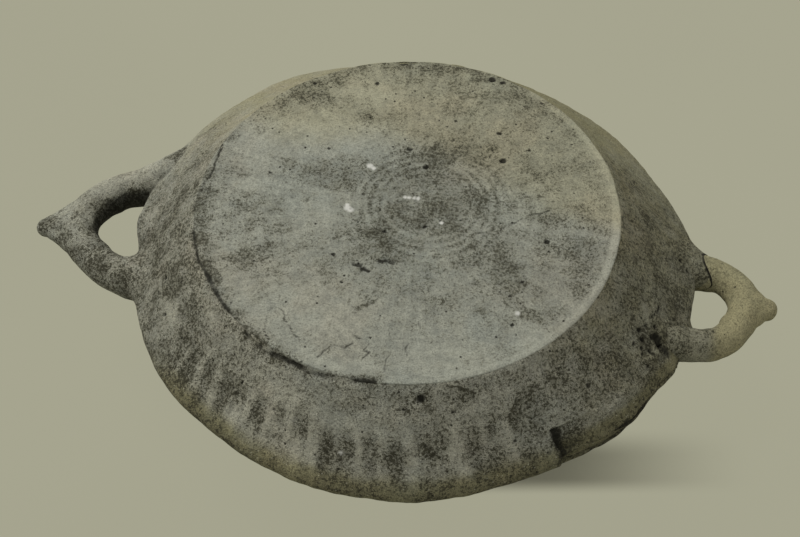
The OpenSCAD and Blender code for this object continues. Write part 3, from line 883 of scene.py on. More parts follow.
class FlaskBody(bpy.types.PropertyGroup):
    """Sizes of the hand-made unevenness."""

    face_shift_x: length_setting("Face Shift X", "How far the face sits off the axis along X", -0.003)
    face_shift_y: length_setting("Face Shift Y", "How far the face sits off the axis along Y", -0.002)
    wobble: length_setting("Wobble", "How far the turned body strays from a true circle", 0.0009)
    smear: length_setting("Smear", "Thickness of the clay smeared on behind the left handle", 0.0054)
    flute_depth: number_setting("Flute Depth", "Depth of the finger flutes in millimetres", 1.15, 0.0, 3.0)
    flute_step: number_setting("Flute Step", "Degrees from one flute to the next", 5.1, 2.0, 12.0)
    ring_depth: number_setting("Ring Depth", "Depth of the throwing rings in millimetres", 0.22, 0.0, 2.0)


class FlaskClay(bpy.types.PropertyGroup):
    """Colours of the clay, in linear light."""

    disc_warm: colour_setting("Disc Warm", "Pale clay of the disc's far half", (0.318, 0.309, 0.216))
    disc_cool: colour_setting("Disc Cool", "Pale clay of the disc's near half", (0.303, 0.309, 0.250))
    wall_grey: colour_setting("Wall Grey", "Pale clay of the wall", (0.345, 0.340, 0.267))
    # The wall's olive tone is also laid on along the low edge as painted shade
    wall_olive: colour_setting("Wall Olive", "Clay of the wall's low edge and right side", (0.222, 0.207, 0.116))
    handle: colour_setting("Handle", "Pale clay of the right handle", (0.290, 0.266, 0.150))
    # The dark colour is also laid on as painted shade
    dark: colour_setting("Dirt", "Dark dirt in the surface", (0.034, 0.032, 0.018))


def tones(colour):
    """A pale tone and the darker one it mixes with."""
    return tuple(colour), tuple(c * f for c, f in zip(colour, (0.64, 0.65, 0.66)))


def wall_clay(name, colours, **settings):
    return clay(name, tones(colours.wall_grey), tones(colours.wall_olive), colours.dark, sand=1.35, **settings)


class FlaskStage(bpy.types.PropertyGroup):
    """The camera, the light and the floor."""

    distance: length_setting("Distance", "Camera's distance from the seam's centre", 0.75)
    elevation: angle_setting("Elevation", "Camera's height above the seam", 50.62)
    azimuth: angle_setting("Azimuth", "Camera's turn towards +X", 8.6)
    lens: number_setting("Lens", "Focal length in millimetres", 62.28, 10.0, 300.0)
    key: number_setting("Key Light", "Power of the large soft lamp in watts", 17.0)
    sky: number_setting("Sky", "Strength of the even light from all round", 0.62)
    floor: colour_setting("Floor", "Colour of the floor", (0.385, 0.378, 0.278))


class FLASK_OT_front_disc(bpy.types.Operator):
    """Makes the flat disc that closes the front"""

    bl_idname = "flask.front_disc"
    bl_label = "Front Disc"

    def execute(self, context):
        colours = context.scene.flask_clay
        material = clay("disc_clay", tones(colours.disc_warm), tones(colours.disc_cool), colours.dark,
                        streaks=0.75, rings=0.3, sand=0.85, crisp=0.85)
        lip = FACE_R - 0.5
        points = chained(
            walk((0, DISC_LOW), (DISC_R, DISC_LOW, 8), (DISC_R, FACE_Z - 1.4, 2.5), (lip, FACE_Z - 1.2, 1)),
            arc((lip - 0.3, FACE_Z - 0.7), 0.7, math.pi * 0.35, math.pi, 0.25),
            straight((lip - 0.5, FACE_Z), (0, FACE_Z), 0.92))
        skin = np.where(points[:, 1] > FACE_Z - 1.1, 1.0, 0.0)
        mesh = turned("front_disc_clay", points, skin, material, **{
            "Segments": 668, "Ring Depth": 0.05, "Ring Pitch": 4.4})

        def paint_disc(points, dip, ridge):
            flat, rim = on_face(points), round_z(points)[0]
            right = fade(np.abs(turn_from(azimuth(points), -8)), 80, 45)
            # Painted highlight: the right part of the rim is painted paler, where the light falls on its raised edge
            painted_rim_highlight = fade(rim, 103.5, 107) * right * 0.6 * (1 + 0.4 * noise(points, 12, 91))
            edge = fade(line_distance(flat, DISC_GROOVE), 7.5, 1.0)
            uneven = 1 + 0.4 * noise(points, 7, 55)
            far = points[:, 1] + 0.25 * points[:, 0] + 18 * noise(points, 60, 12)
            paint = {
                "stain": (0.26 + blobs(flat, DISC_STAINS, True) * 0.66 + edge * 0.45
                          + 0.26 * bell(rim, 0, 60) + 0.2 * fade(points[:, 1], 60, 95)
                          + 0.08 * fade(points[:, 0], -50, -85)) * uneven,
                "pale_and_highlight": np.maximum(blobs(flat, DISC_PALE, True) * 0.8, painted_rim_highlight),
                "other": fade(far, 56, 8),
                "crack_and_shade": np.zeros(len(points)), "white": np.zeros(len(points)),
            }
            shaken = flat + 0.8 * bent(points, 4, (1, 2))
            for width, strength, line in DISC_STREAKS:
                streak = fade(line_distance(shaken, line), width * 1.8, width * 0.3) * strength
                at_least(paint, "stain", streak * uneven)
            return paint

        def scar_disc(points, outs, moved, paint):
            flat, rim = on_face(points), round_z(points)[0]
            top = points[:, 2] > FACE_Z - 0.01
            right = fade(np.abs(turn_from(azimuth(points), -8)), 95, 50)
            raised = 0.14 * fade(rim, 102.5, 106.5) * right * (1 + 0.5 * noise(points, 14, 19))
            sunk = 0.5 * bell(np.hypot(points[:, 0] - 0.5, points[:, 1] - 3), 0, 26)
            hub = np.hypot(flat[:, 0] - 8, flat[:, 1] - 2)
            wheel = np.sin(hub / 4.9 * 2 * math.pi + 0.6 * noise(points, 30, 8)) * fade(hub, 14, 24) * fade(hub, 48, 34)
            moved[:, 2] += (raised - sunk + 0.22 * wheel) * top
            paint["stain"] += 0.16 * wheel
            shaken, patchy = flat + bent(points, 3.2, (5, 6)), 0.85 + 0.5 * noise(points, 4, 17)
            for width, line in DISC_CRACKS:
                gash = fade(line_distance(shaken, line), max(width * 1.9, 0.85), width * 0.4)
                moved[:, 2] -= gash * width * 0.8 * top
                at_least(paint, "crack_and_shade", gash * min(0.95, 0.3 + width) * patchy)
            for x, y, size in DISC_PITS:
                lean = 1 + 0.25 * noise(points, 1.7, int(x + 200))
                pit = fade(np.hypot(flat[:, 0] - x, (flat[:, 1] - y) * 1.15) * lean, size * 1.3, size * 0.6)
                moved[:, 2] -= pit * size * 0.7 * top
                at_least(paint, "crack_and_shade", pit)
            for x, y, size in DISC_WHITE:
                at_least(paint, "white", fade(np.hypot(flat[:, 0] - x, flat[:, 1] - y), size * 1.45, size * 0.6) * 0.9)
            _, _, cut, line = disc_groove(points)
            moved[:, 2] -= cut * 0.7
            at_least(paint, "crack_and_shade", line)

        finish_piece("front_disc_clay", shaped(mesh, paint_disc, scar_disc, 0.55), "disc_clay", "front_disc")
        return {"FINISHED"}


class FLASK_OT_front_wall(bpy.types.Operator):
    """Makes the sloping, finger-fluted wall between the disc and the band"""

    bl_idname = "flask.front_wall"
    bl_label = "Front Wall"

    def execute(self, context):
        colours, sizes = context.scene.flask_clay, context.scene.flask_body
        material = wall_clay("wall_clay", colours, streaks=0.3)
        seat_r, seat_z, under = DISC_R + 0.2, DISC_LOW, FACE_Z - 1.35
        ledge_r, ledge_z, thick_z = seat_r - 8, 110, 102
        round_r = 3.0
        run = round_r * math.tan(FRONT_SLOPE / 2)
        shoulder = np.array([FACE_R - run, FACE_Z - 0.35 - round_r])
        points = chained(
            walk((seat_r, seat_z), (seat_r, under, 2), (FACE_R - 2.4, under, 1),
                 (shoulder[0], shoulder[1] + round_r, 0.8)),
            arc(shoulder, round_r, math.pi, math.pi - FRONT_SLOPE, 0.7),
            straight(shoulder + round_r * FRONT_OUT, (front_r(BAND_TOP + 0.1), BAND_TOP + 0.1), 0.98),
            walk((front_r(BAND_TOP), BAND_TOP), (front_r(BAND_TOP, 0.15), BAND_TOP, 1),
                 (front_r(BAND_TOP, THIN_EDGE), BAND_TOP, 1), (*INNER_SEAM, 1.0), (front_r(SEAM_Z, WALL), SEAM_Z, 3),
                 (front_r(thick_z, WALL), thick_z, 6), (ledge_r, ledge_z, 6), (ledge_r, seat_z, 6),
                 (seat_r, seat_z, 4)))
        on_slope = np.abs(points[:, 0] - np.array([front_r(z) for z in points[:, 1]])) < 0.6
        skin = np.where(on_slope | (points[:, 1] > FACE_Z - 1.2), 1.0, 0.0)
        mesh = turned("front_wall_clay", points[::-1], skin[::-1], material, **{
            "Segments": 860, "Start": -180.0, "Flute Depth": sizes.flute_depth, "Flute Step": sizes.flute_step,
            "Ring Depth": 0.06, "Ring Pitch": 7.0})

        def scar(points, outs, moved, paint):
            wall_scars(points, outs, moved, paint)
            r, outward = round_z(points)
            outward[:, 2] = 0.55
            lost, kept = lost_part(points)
            top = 95 + 3.5 * noise(points, 9, 61) + 2 * noise(points, 3, 62)
            broken = lost * fade(points[:, 2], top + 0.8, top - 0.8) * (r > SEAM_R - 12)
            ragged = 1.2 + 0.8 * noise(points, 7, 63) + 0.5 * noise(points, 2.4, 64)
            moved += outward * (broken * (kept - ragged))[:, None]
            # Painted shade on the face left where the band is lost, darkest at the step at its end
            at_least(paint, "stain", broken * 0.45 + fade(azimuth(points), LOST_TO + 9, LOST_TO + 1) * broken * 0.7)
            at_least(paint, "crack_and_shade", fade(azimuth(points), LOST_TO + 3.5, LOST_TO + 1.0) * broken * 0.85)

        finish_piece("front_wall_clay", shaped(mesh, wall_paint, scar), "wall_clay", "front_wall")
        return {"FINISHED"}


class FLASK_OT_seam_band(bpy.types.Operator):
    """Makes the smooth band over the seam, with a piece broken off"""

    bl_idname = "flask.seam_band"
    bl_label = "Seam Band"

    def execute(self, context):
        colours, sizes = context.scene.flask_clay, context.scene.flask_body
        material = wall_clay("band_clay", colours, streaks=0.3)
        points = chained(
            arc(BACK_CENTRE, BACK_ARC_R, back_angle(BAND_LOW), BACK_SLOPE, 1.0),
            arc(KEEL, KEEL_R, BACK_SLOPE, math.pi - FRONT_SLOPE, 0.9),
            straight(KEEL + KEEL_R * FRONT_OUT, (front_r(BAND_TOP - 0.1), BAND_TOP - 0.1), 1.0),
            walk((front_r(BAND_TOP), BAND_TOP), (front_r(BAND_TOP, 0.15), BAND_TOP, 0.6),
                 (front_r(BAND_TOP, THIN_EDGE), BAND_TOP, 0.6), (*INNER_SEAM, 4),
                 (back_r(BAND_LOW, THIN_EDGE), BAND_LOW, 4), (back_r(BAND_LOW), BAND_LOW, 0.6)))
        outer = np.array([front_r(z) if z > SEAM_Z else back_r(z) for z in points[:, 1]])
        skin = np.where(points[:, 0] > np.minimum(outer, SEAM_R) - 2.2, 1.0, 0.0) \
            * np.where(np.abs(points[:, 0] - INNER_SEAM[0]) < 0.1, 0.0, 1.0)
        mesh = turned("seam_band_clay", points, skin, material, **{
            "Segments": 780, "Start": LOST_FROM, "Sweep": 360 - (LOST_FROM - LOST_TO), "Ring Depth": 0.05,
            "Ring Pitch": 5.0, "Flute From": 217.0, "Flute To": 305.0, "Flute Depth": sizes.flute_depth,
            "Flute Step": sizes.flute_step})
        close_ends(mesh)

        def scar(points, outs, moved, paint):
            wall_scars(points, outs, moved, paint)
            angle = azimuth(points)
            for end, way in ((LOST_FROM, 1), (LOST_TO, -1)):
                away = np.abs(turn_from(angle, end))
                near = fade(away, 2.2, 0.0)
                jag = (1.8 * noise(points, 6, 71) + 1.0 * noise(points, 2.2, 72)) * near
                side = np.stack([-points[:, 1], points[:, 0], 0 * angle], 1) / SEAM_R * way
                moved += side * jag[:, None]
                # Painted shade on the broken ends of the band, darkest at their very edge
                at_least(paint, "stain", near)
                at_least(paint, "crack_and_shade", 0.5 * fade(away, 0.5, 0.1))

        finish_piece("seam_band_clay", shaped(mesh, wall_paint, scar), "band_clay", "seam_band")
        return {"FINISHED"}


def close_ends(mesh):
    """Closes the two open ends of a band that isn't a full circle."""
    work = bmesh.new()
    work.from_mesh(mesh)
    rim = [edge for edge in work.edges if edge.is_boundary]
    bmesh.ops.holes_fill(work, edges=rim, sides=0)
    bmesh.ops.triangulate(work, faces=[face for face in work.faces if len(face.verts) > 4])
    work.to_mesh(mesh)
    work.free()


class FLASK_OT_back_shell(bpy.types.Operator):
    """Makes the deep back half that the flask rests on"""

    bl_idname = "flask.back_shell"
    bl_label = "Back Shell"

    def execute(self, context):
        colours, sizes = context.scene.flask_clay, context.scene.flask_body
        material = wall_clay("back_clay", colours, rings=0.2)
        points = chained(
            straight((0, 0), (REST_R - 2, 0), 2.2), arc((REST_R - 2, 2), 2, 0, FLOOR_SLOPE, 0.6),
            arc(BACK_CENTRE, BACK_ARC_R, FLOOR_SLOPE + 0.005, back_angle(BAND_LOW), 1.3),
            walk((back_r(BAND_LOW), BAND_LOW), (back_r(BAND_LOW, THIN_EDGE), BAND_LOW, 1), (*INNER_SEAM, 1.2),
                 (back_r(SEAM_Z, WALL), SEAM_Z, 3)),
            arc(BACK_CENTRE, BACK_ARC_R - WALL, back_angle(SEAM_Z, WALL), FLOOR_SLOPE, 7),
            straight((REST_R - 4, WALL * math.cos(FLOOR_SLOPE)), (0, WALL * math.cos(FLOOR_SLOPE)), 9))
        outer = np.array([back_r(z) if 0 < z < BAND_LOW else -1 for z in points[:, 1]])
        skin = np.where(np.abs(points[:, 0] - outer) < 0.4, 1.0, 0.0)
        skin = np.where((points[:, 1] < 0.01) & (points[:, 0] < REST_R), 0.15, skin)
        mesh = turned("back_shell_clay", points, skin, material, **{
            "Segments": 600, "Ring Depth": sizes.ring_depth, "Ring Pitch": 7.5})

        def scar(points, outs, moved, paint):
            wall_scars(points, outs, moved, paint)
            r, outward = round_z(points)
            z, angle = points[:, 2], azimuth(points)
            base = fade(z, 2.0, 0.2) * (r < REST_R + 1)
            moved[:, 2] = np.maximum(moved[:, 2], 0) + 0.35 * base * fade(r, 58, 40)
            paint["stain"] += 0.25 * fade(z, 22, 0)
            lost, kept = lost_part(points)
            broken = lost * (z > BAND_LOW - 0.5) * (r > SEAM_R - 12)
            moved += outward * (broken * (kept - 0.9 - 0.8 * noise(points, 6, 63)))[:, None]
            # Painted shade on the face left where the band is lost and at the step at its end
            at_least(paint, "stain", broken * 0.6)
            slit = 0.8 * fade(np.abs(turn_from(angle, -36)), 11, 5) * fade(np.abs(z - SEAM_Z), 1.2, 0.4) * (r > 138)
            shade = 0.8 * fade(np.abs(turn_from(angle, LOST_TO + 1)), 2.2, 1.0) * (z > BAND_LOW) * (r > 136)
            at_least(paint, "crack_and_shade", np.maximum(slit, shade))

        finish_piece("back_shell_clay", shaped(mesh, wall_paint, scar), "back_clay", "back_shell")
        return {"FINISHED"}


def meet_body(origins, way, start, stop, depth=0.0):
    """Where lines that run out of the body along a direction pass a depth under its surface."""
    low, high = np.full(len(origins), float(start)), np.full(len(origins), float(stop))
    for _ in range(HALVINGS):
        middle = (low + high) / 2
        inside = body_depth(origins + middle[:, None] * way)[0] > depth
        low, high = np.where(inside, middle, low), np.where(inside, high, middle)
    return (low + high) / 2


def grid_faces(rows, columns, wrap_rows=False):
    """Quads of a grid whose columns close on themselves."""
    faces = []
    for i in range(rows if wrap_rows else rows - 1):
        for j in range(columns):
            a, b = i * columns + j, i * columns + (j + 1) % columns
            c, d = (i + 1) % rows * columns + (j + 1) % columns, (i + 1) % rows * columns + j
            faces.append((a, b, c, d))
    return faces


def snapped(tree, points, lift):
    """The nearest points on a surface, lifted off it along its normals."""
    found = [tree.find_nearest(Vector(point * MM)) for point in points]
    return np.array([[c / MM + n * lift for c, n in zip(hit[0], hit[1])] for hit in found])


def fillet(name, origin, way, radius, high, wide, seed, material, lift=0.0, tree=None, sides=160):
    """Clay smoothed into the corner between the body and what stands on it, as a closed ring.

    high and wide are functions of the direction round the roll, in degrees from straight up."""
    way = np.array(way, float) / np.linalg.norm(way)
    side = np.cross(way, UP)
    side /= np.linalg.norm(side)
    top = np.cross(side, way)
    turns = np.linspace(0, 2 * math.pi, sides, endpoint=False)
    around = np.cos(turns)[:, None] * top + np.sin(turns)[:, None] * side
    degrees = np.degrees(turns)
    wave = np.stack([np.cos(turns), np.sin(turns), 0 * turns], 1) * 14
    high = np.array([high(d) for d in degrees]) * (1 + 0.14 * noise(wave, 7, seed))
    wide = np.array([wide(d) for d in degrees]) * (1 + 0.2 * noise(wave, 6, seed + 1))
    lines = np.array(origin, float) + around * radius
    search_from, search_to, ring_count = -45, 60, 24
    corner = lines + meet_body(lines, way, search_from, search_to)[:, None] * way
    _, out = body_depth(corner)
    upper = corner + high[:, None] * way
    if tree:
        upper = snapped(tree, upper, lift)
    along = around - np.einsum("ij,ij->i", around, out)[:, None] * out
    along /= np.linalg.norm(along, axis=1)[:, None]
    lower = corner + wide[:, None] * along
    for _ in range(4):
        depth, out_low = body_depth(lower)
        lower = lower + out_low * (depth - 0.1)[:, None]
    steps = np.linspace(0, 1, ring_count)
    rings = [(1 - t) ** 2 * upper + 2 * t * (1 - t) * corner + t ** 2 * lower for t in steps]
    rings += [lower - out_low * 1.6, corner - out * 2.4 - around * 2.4, upper - around * 1.8]
    points = np.vstack(rings)
    mesh = new_mesh(name, points, grid_faces(len(rings), sides, wrap_rows=True), material)
    if volume(mesh) < 0:
        mesh.flip_normals()
    share = np.repeat(np.r_[steps, 1, 1, 0], sides)
    moved = settled(points, share)
    skin = np.repeat(np.r_[np.sin(np.clip(steps * 1.25, 0, 1) * math.pi / 2), 1, 0, 0], sides)
    moved += read_normals(mesh) * (hand_marks(points) * skin)[:, None]
    write_points(mesh, moved)
    return mesh, points, share


class FLASK_OT_neck(bpy.types.Operator):
    """Makes the neck with its mouth, and the collar smoothed round its root"""

    bl_idname = "flask.neck"
    bl_label = "Neck"

    def execute(self, context):
        colours = context.scene.flask_clay
        material = wall_clay("neck_clay", colours)
        bore, spigot, outer, lip = 10.0, 14.5, 18.0, 21.0
        start, root = 97.0, 118.0
        points = chained(
            walk((bore, start), (spigot, start, 3), (spigot, root, 3), (outer, root, 2),
                 (outer - 0.3, MOUTH_Y - 14, 1.0), (lip - 1.2, MOUTH_Y - 5.5, 0.8)),
            arc((lip - 2.4, MOUTH_Y - 3.2), 2.4, math.pi * 0.35, math.pi * 0.97, 0.5),
            arc((bore + 2.0, MOUTH_Y - 2.0), 2.0, math.pi, math.pi * 1.5, 0.5),
            straight((bore, MOUTH_Y - 2), (bore, start), 1.6))
        skin = np.where((points[:, 0] > spigot + 1) | (points[:, 1] > MOUTH_Y - 8), 1.0, 0.25)
        mesh = turned("neck_clay", points, skin, material, **{
            "Segments": 190, "Ring Depth": 0.14, "Ring Pitch": 4.2})

        # Laid over from the wheel's axis to +Y, with its root drawn in or out to meet the round body
        turn = np.array([[1.0, 0, 0], [0, 0, -1.0], [0, 1.0, 0]])
        laid, outs = read_points(mesh) @ turn, read_outs(mesh) @ turn
        laid[:, 2] += NECK_Z
        round_r = np.hypot(laid[:, 0], laid[:, 2] - NECK_Z)
        stretch_to, within = MOUTH_Y - 16, 60
        stretched = (round_r > spigot + 0.4) & (laid[:, 1] < stretch_to)
        lines = laid.copy()
        lines[:, 1] = within
        meets = within + meet_body(lines, np.array([0, 1.0, 0]), 0, 110, 3.0)
        share = np.clip((stretch_to - laid[:, 1]) / (stretch_to - root), 0, 1)
        laid[:, 1] = np.where(stretched, laid[:, 1] + (meets - root) * share, laid[:, 1])
        moved = laid + outs * (hand_marks(laid) * 0.8 * read_layer(mesh, "skin"))[:, None]
        moved[:, 1] += 0.5 * noise(laid, 14, 15) * fade(laid[:, 1], MOUTH_Y - 12, MOUTH_Y)
        moved[:, 1] = np.minimum(moved[:, 1], MOUTH_Y - 0.05)
        write_points(mesh, moved)
        paint = wall_paint(laid)
        inside = fade(round_r, bore + 1.2, bore + 0.2)
        paint["stain"] = np.clip(0.35 + 0.5 * inside + 0.3 * noise(laid, 12, 81), 0, 1)
        write_paint(mesh, paint)
        collar, points, _ = fillet("neck_collar_clay", (0, 90, NECK_Z), (0, 1, 0), outer - 0.2,
                                   lambda d: 7.0, lambda d: 8.0, 91, material, -0.2, surface_tree(mesh))
        write_paint(collar, wall_paint(points))
        finish_piece("neck_collar_clay", collar, "neck_clay", "neck_collar")
        finish_piece("neck_clay", mesh, "neck_clay", "neck")
        return {"FINISHED"}


def surface_tree(mesh):
    """A search tree over a mesh, for the points nearest to others."""
    return BVHTree.FromPolygons([v.co for v in mesh.vertices], [p.vertices for p in mesh.polygons])


def limb(places, radii, step=1.4, sides=36, tall=1.0):
    """A roll of clay along a smooth line through places, with round ends."""
    places, radii = np.array(places, float), np.array(radii, float)
    run = np.r_[0, np.cumsum(np.linalg.norm(np.diff(places, axis=0), axis=1))]
    wanted = np.linspace(0, run[-1], max(3, int(run[-1] / step)))
    ends = np.vstack([2 * places[0] - places[1], places, 2 * places[-1] - places[-2]])
    points, sizes = [], []
    for w in wanted:
        k = min(int(np.searchsorted(run, w, side="right")) - 1, len(run) - 2)
        t = (w - run[k]) / (run[k + 1] - run[k])
        p0, p1, p2, p3 = ends[k:k + 4]
        points.append(0.5 * (2 * p1 + (p2 - p0) * t + (2 * p0 - 5 * p1 + 4 * p2 - p3) * t * t
                             + (3 * p1 - 3 * p2 + p3 - p0) * t ** 3))
        smooth = t * t * (3 - 2 * t)
        sizes.append(radii[k] * (1 - smooth) + radii[k + 1] * smooth)
    points, sizes = np.array(points), np.array(sizes)
    ahead = np.gradient(points, axis=0)
    ahead /= np.linalg.norm(ahead, axis=1)[:, None]
    cap = np.linspace(math.pi / 2, 0, 7)[1:-1]

    def round_end(at, sign, angles):
        return [(points[at] + sign * ahead[at] * sizes[at] * math.sin(a), ahead[at], sizes[at] * math.cos(a))
                for a in angles]

    rows = [*round_end(0, -1, cap), *zip(points, ahead, sizes), *round_end(-1, 1, cap[::-1])]
    verts = [points[0] - ahead[0] * sizes[0]]
    for centre, way, size in rows:
        side = np.cross(way, UP)
        side /= np.linalg.norm(side)
        lift = np.cross(side, way) * tall
        for a in np.linspace(0, 2 * math.pi, sides, endpoint=False):
            verts.append(centre + size * (math.cos(a) * side + math.sin(a) * lift))
    verts.append(points[-1] + ahead[-1] * sizes[-1])
    faces = [tuple(1 + v for v in face) for face in grid_faces(len(rows), sides)]
    last, start = len(verts) - 1, 1 + (len(rows) - 1) * sides
    for j in range(sides):
        faces += [(0, 1 + (j + 1) % sides, 1 + j), (last, start + j, start + (j + 1) % sides)]
    return verts, faces


def kneaded(name, limbs, material, voxel, smoothing):
    """Several limbs pressed into one piece of clay and smoothed over."""
    verts, faces = [], []
    for more, quads in limbs:
        faces += [tuple(len(verts) + v for v in quad) for quad in quads]
        verts += list(more)
    mesh = new_mesh(name + "_rolls", verts, faces, material)
    if volume(mesh) < 0:
        mesh.flip_normals()
    work = new_object(name + "_rolls", mesh)
    remesh = work.modifiers.new("press", "REMESH")
    remesh.mode, remesh.voxel_size, remesh.use_smooth_shade = "VOXEL", voxel * MM, True
    smooth = work.modifiers.new("smooth", "SMOOTH")
    smooth.factor, smooth.iterations = 0.5, smoothing
    made = plain_mesh(work)
    made.materials.clear()
    made.materials.append(material)
    made.shade_smooth()
    return made


def roll(line, tall=1.0):
    return limb([place[:3] for place in line], [place[3] for place in line], tall=tall)


def handled(mesh, marks):
    """Marks of the hand on a kneaded piece; returns its points before them."""
    points, outs = read_points(mesh), read_normals(mesh)
    moved = settled(points, 0.0) + outs * (hand_marks(points) * marks + 0.25 * rough(points, 9, 2, 33))[:, None]
    write_points(mesh, moved)
    return points


class FLASK_OT_handles(bpy.types.Operator):
    """Makes the two loop handles and the clay smoothed round their roots"""

    bl_idname = "flask.handles"
    bl_label = "Handles"

    def execute(self, context):
        colours = context.scene.flask_clay
        between = tuple((a + b) / 2 for a, b in zip(colours.wall_grey, colours.wall_olive))
        pale = clay("pale_handle_clay", tones(colours.handle), tones(between), colours.dark)
        dark = wall_clay("dark_handle_clay", colours)
        pale_wad = wall_clay("right_wad_clay", colours)
        dark_wad = wall_clay("left_wad_clay", colours)

        z = HANDLE_Z
        tip = limb([(177.5, -4.6, z), (182.5, -4.6, z), (188.6, -4.6, z)], [9.0, 8.6, 6.2])
        web_far = limb([(172.5, 6.5, z), (183, -1.2, z)], [8.0, 6.4])
        web_near = limb([(171.6, -18, z), (183, -8, z)], [8.0, 6.4])
        right = kneaded("handle_right_clay", [roll(RIGHT_ROLL), tip, web_far, web_near], pale, 0.75, 9)
        points = handled(right, 0.7)
        root = fade(points[:, 0], 166, 154) * fade(points[:, 1], -10, -20)
        uneven = 1 + 0.4 * noise(points, 8, 44)
        kin = np.maximum(root * 0.9, fade(points[:, 0], 154, 148))
        stain = (0.22 + 0.36 * kin + 0.12 * fade(points[:, 2], z, z - 8)) * uneven
        fold = fade(line_distance(points, [(165, -31, z + 2), (172, -26.5, z + 4.5), (176, -21, z + 5)]), 1.3, 0.4)
        write_points(right, read_points(right) - read_normals(right) * (fold * 0.7)[:, None])
        write_paint(right, {"stain": stain, "crack_and_shade": fold * 0.35, "other": kin,
                            "pale_and_highlight": 0.2 * fade(points[:, 0], 160, 172) * uneven})

        tip = limb([(-191.5, -1.8, z), (-198, -2.4, z), (-206.2, -3.0, z)], [9.6, 7.8, 5.0])
        web_far = limb([(-175, 23.6, z), (-189, 11.4, z), (-203.5, -0.8, z)], [9.0, 7.6, 5.2])
        web_near = limb([(-172.5, -20.6, z), (-187, -11.8, z), (-202, -4.6, z)], [9.2, 7.2, 4.8])
        left = kneaded("handle_left_clay", [roll(LEFT_ROLL, tall=1.02), tip, web_far, web_near], dark, 0.8, 9)
        points = handled(left, 1.0)
        eye = np.hypot(points[:, 0] - EYE_LEFT[0], points[:, 1] - EYE_LEFT[1])
        # The inside of the eye is painted darker, partly for its dirt and partly as painted shade; the far arm's faces
        # turned to the front, away from the light, get painted shade
        eye_dirt_and_shade = fade(eye, 20, 13) * fade(points[:, 2], z + 8, z + 4)
        painted_far_arm_shade = fade(read_normals(left)[:, 1], -0.1, -0.55) * (points[:, 1] > 8) * (points[:, 0] > -181) \
            * fade(points[:, 0], -149, -157) * fade(points[:, 2], z + 9, z + 5)
        eye_dirt_and_shade = np.maximum(eye_dirt_and_shade, painted_far_arm_shade)
        uneven = 1 + 0.4 * noise(points, 8, 45)
        stain = (0.72 - 0.2 * fade(points[:, 1], 5, 20) + 0.2 * rough(points, 16, 2, 46)) * uneven + 0.7 * eye_dirt_and_shade
        # Painted highlight along the top of the far arm, where the light falls
        pale_and_highlight = 0.45 * bell(line_distance(points[:, :2], [(-150, 53), (-200, 6)]), 3, 5) * fade(points[:, 2], z, z + 6)
        write_paint(left, {"stain": stain, "pale_and_highlight": pale_and_highlight, "crack_and_shade": 0.72 * eye_dirt_and_shade})

        def turn(degrees):
            return math.sin(math.radians(degrees))

        trees = {"right": surface_tree(right), "left": surface_tree(left)}

        # node, centre of the root, way out, radius, height and width of the fillet by direction, seed, clay, slot, lift
        wads = (
            ("wad_right_far", (141, 20, 77), (1, -0.2, -0.08), 10.6,
             lambda d: 9.2 + 1.6 * turn(d + 90), lambda d: 9.0 - 5.0 * turn(d), 101, pale_wad, "right_wad_clay", 0.1),
            ("wad_right_near", (140, -37.8, 83.5), (0.85, 0.27, -0.40), 8.6, lambda d: 4.5 - 3.0 * turn(d + 35),
             lambda d: 6.5 - 4.5 * turn(d + 35), 102, pale_wad, "right_wad_clay", -0.3),
            ("wad_left_far", (-143.5, 43.8, 78.5), (-1, -0.62, -0.16), 11.8, lambda d: 12.0 + 2.0 * turn(d),
             lambda d: 12.0 + 3.0 * turn(d), 103, dark_wad, "left_wad_clay", -0.3),
            ("wad_left_near", (-148, -32.4, 76), (-1, 0.12, 0), 12.0, lambda d: 10.0,
             lambda d: 10.0 - 2.0 * turn(d), 104, dark_wad, "left_wad_clay", -0.3),
        )
        for node, origin, way, radius, high, wide, seed, material, slot, lift in wads:
            way = np.array(way, float) / np.linalg.norm(way)
            mesh, points, share = fillet(node + "_clay", np.array(origin) - 14 * way, way, radius, high, wide,
                                         seed, material, lift, trees[node.split("_")[1]])
            paint = wall_paint(points)
            moved = read_points(mesh)
            wall_scars(points, body_depth(points)[1], moved, paint)
            if node == "wad_right_far":
                gap = (0.75 + 0.5 * noise(points, 5, 52)) * fade(share, 0.11, 0.03) * (points[:, 2] > z + 1)
                at_least(paint, "crack_and_shade", gap)
            write_points(mesh, moved)
            write_paint(mesh, paint)
            finish_piece(node + "_clay", mesh, slot, node)
        finish_piece("handle_right_clay", right, "pale_handle_clay", "handle_right")
        finish_piece("handle_left_clay", left, "dark_handle_clay", "handle_left")
        return {"FINISHED"}


class FLASK_OT_seam_coil(bpy.types.Operator):
    """Gives the coil inside the seam its clay"""

    bl_idname = "flask.seam_coil"
    bl_label = "Seam Coil"

    def execute(self, context):
        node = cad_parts["seam_coil"]
        node.data.materials.clear()
        node.data.materials.append(wall_clay("inner_clay", context.scene.flask_clay, stains=0.5))
        return {"FINISHED"}


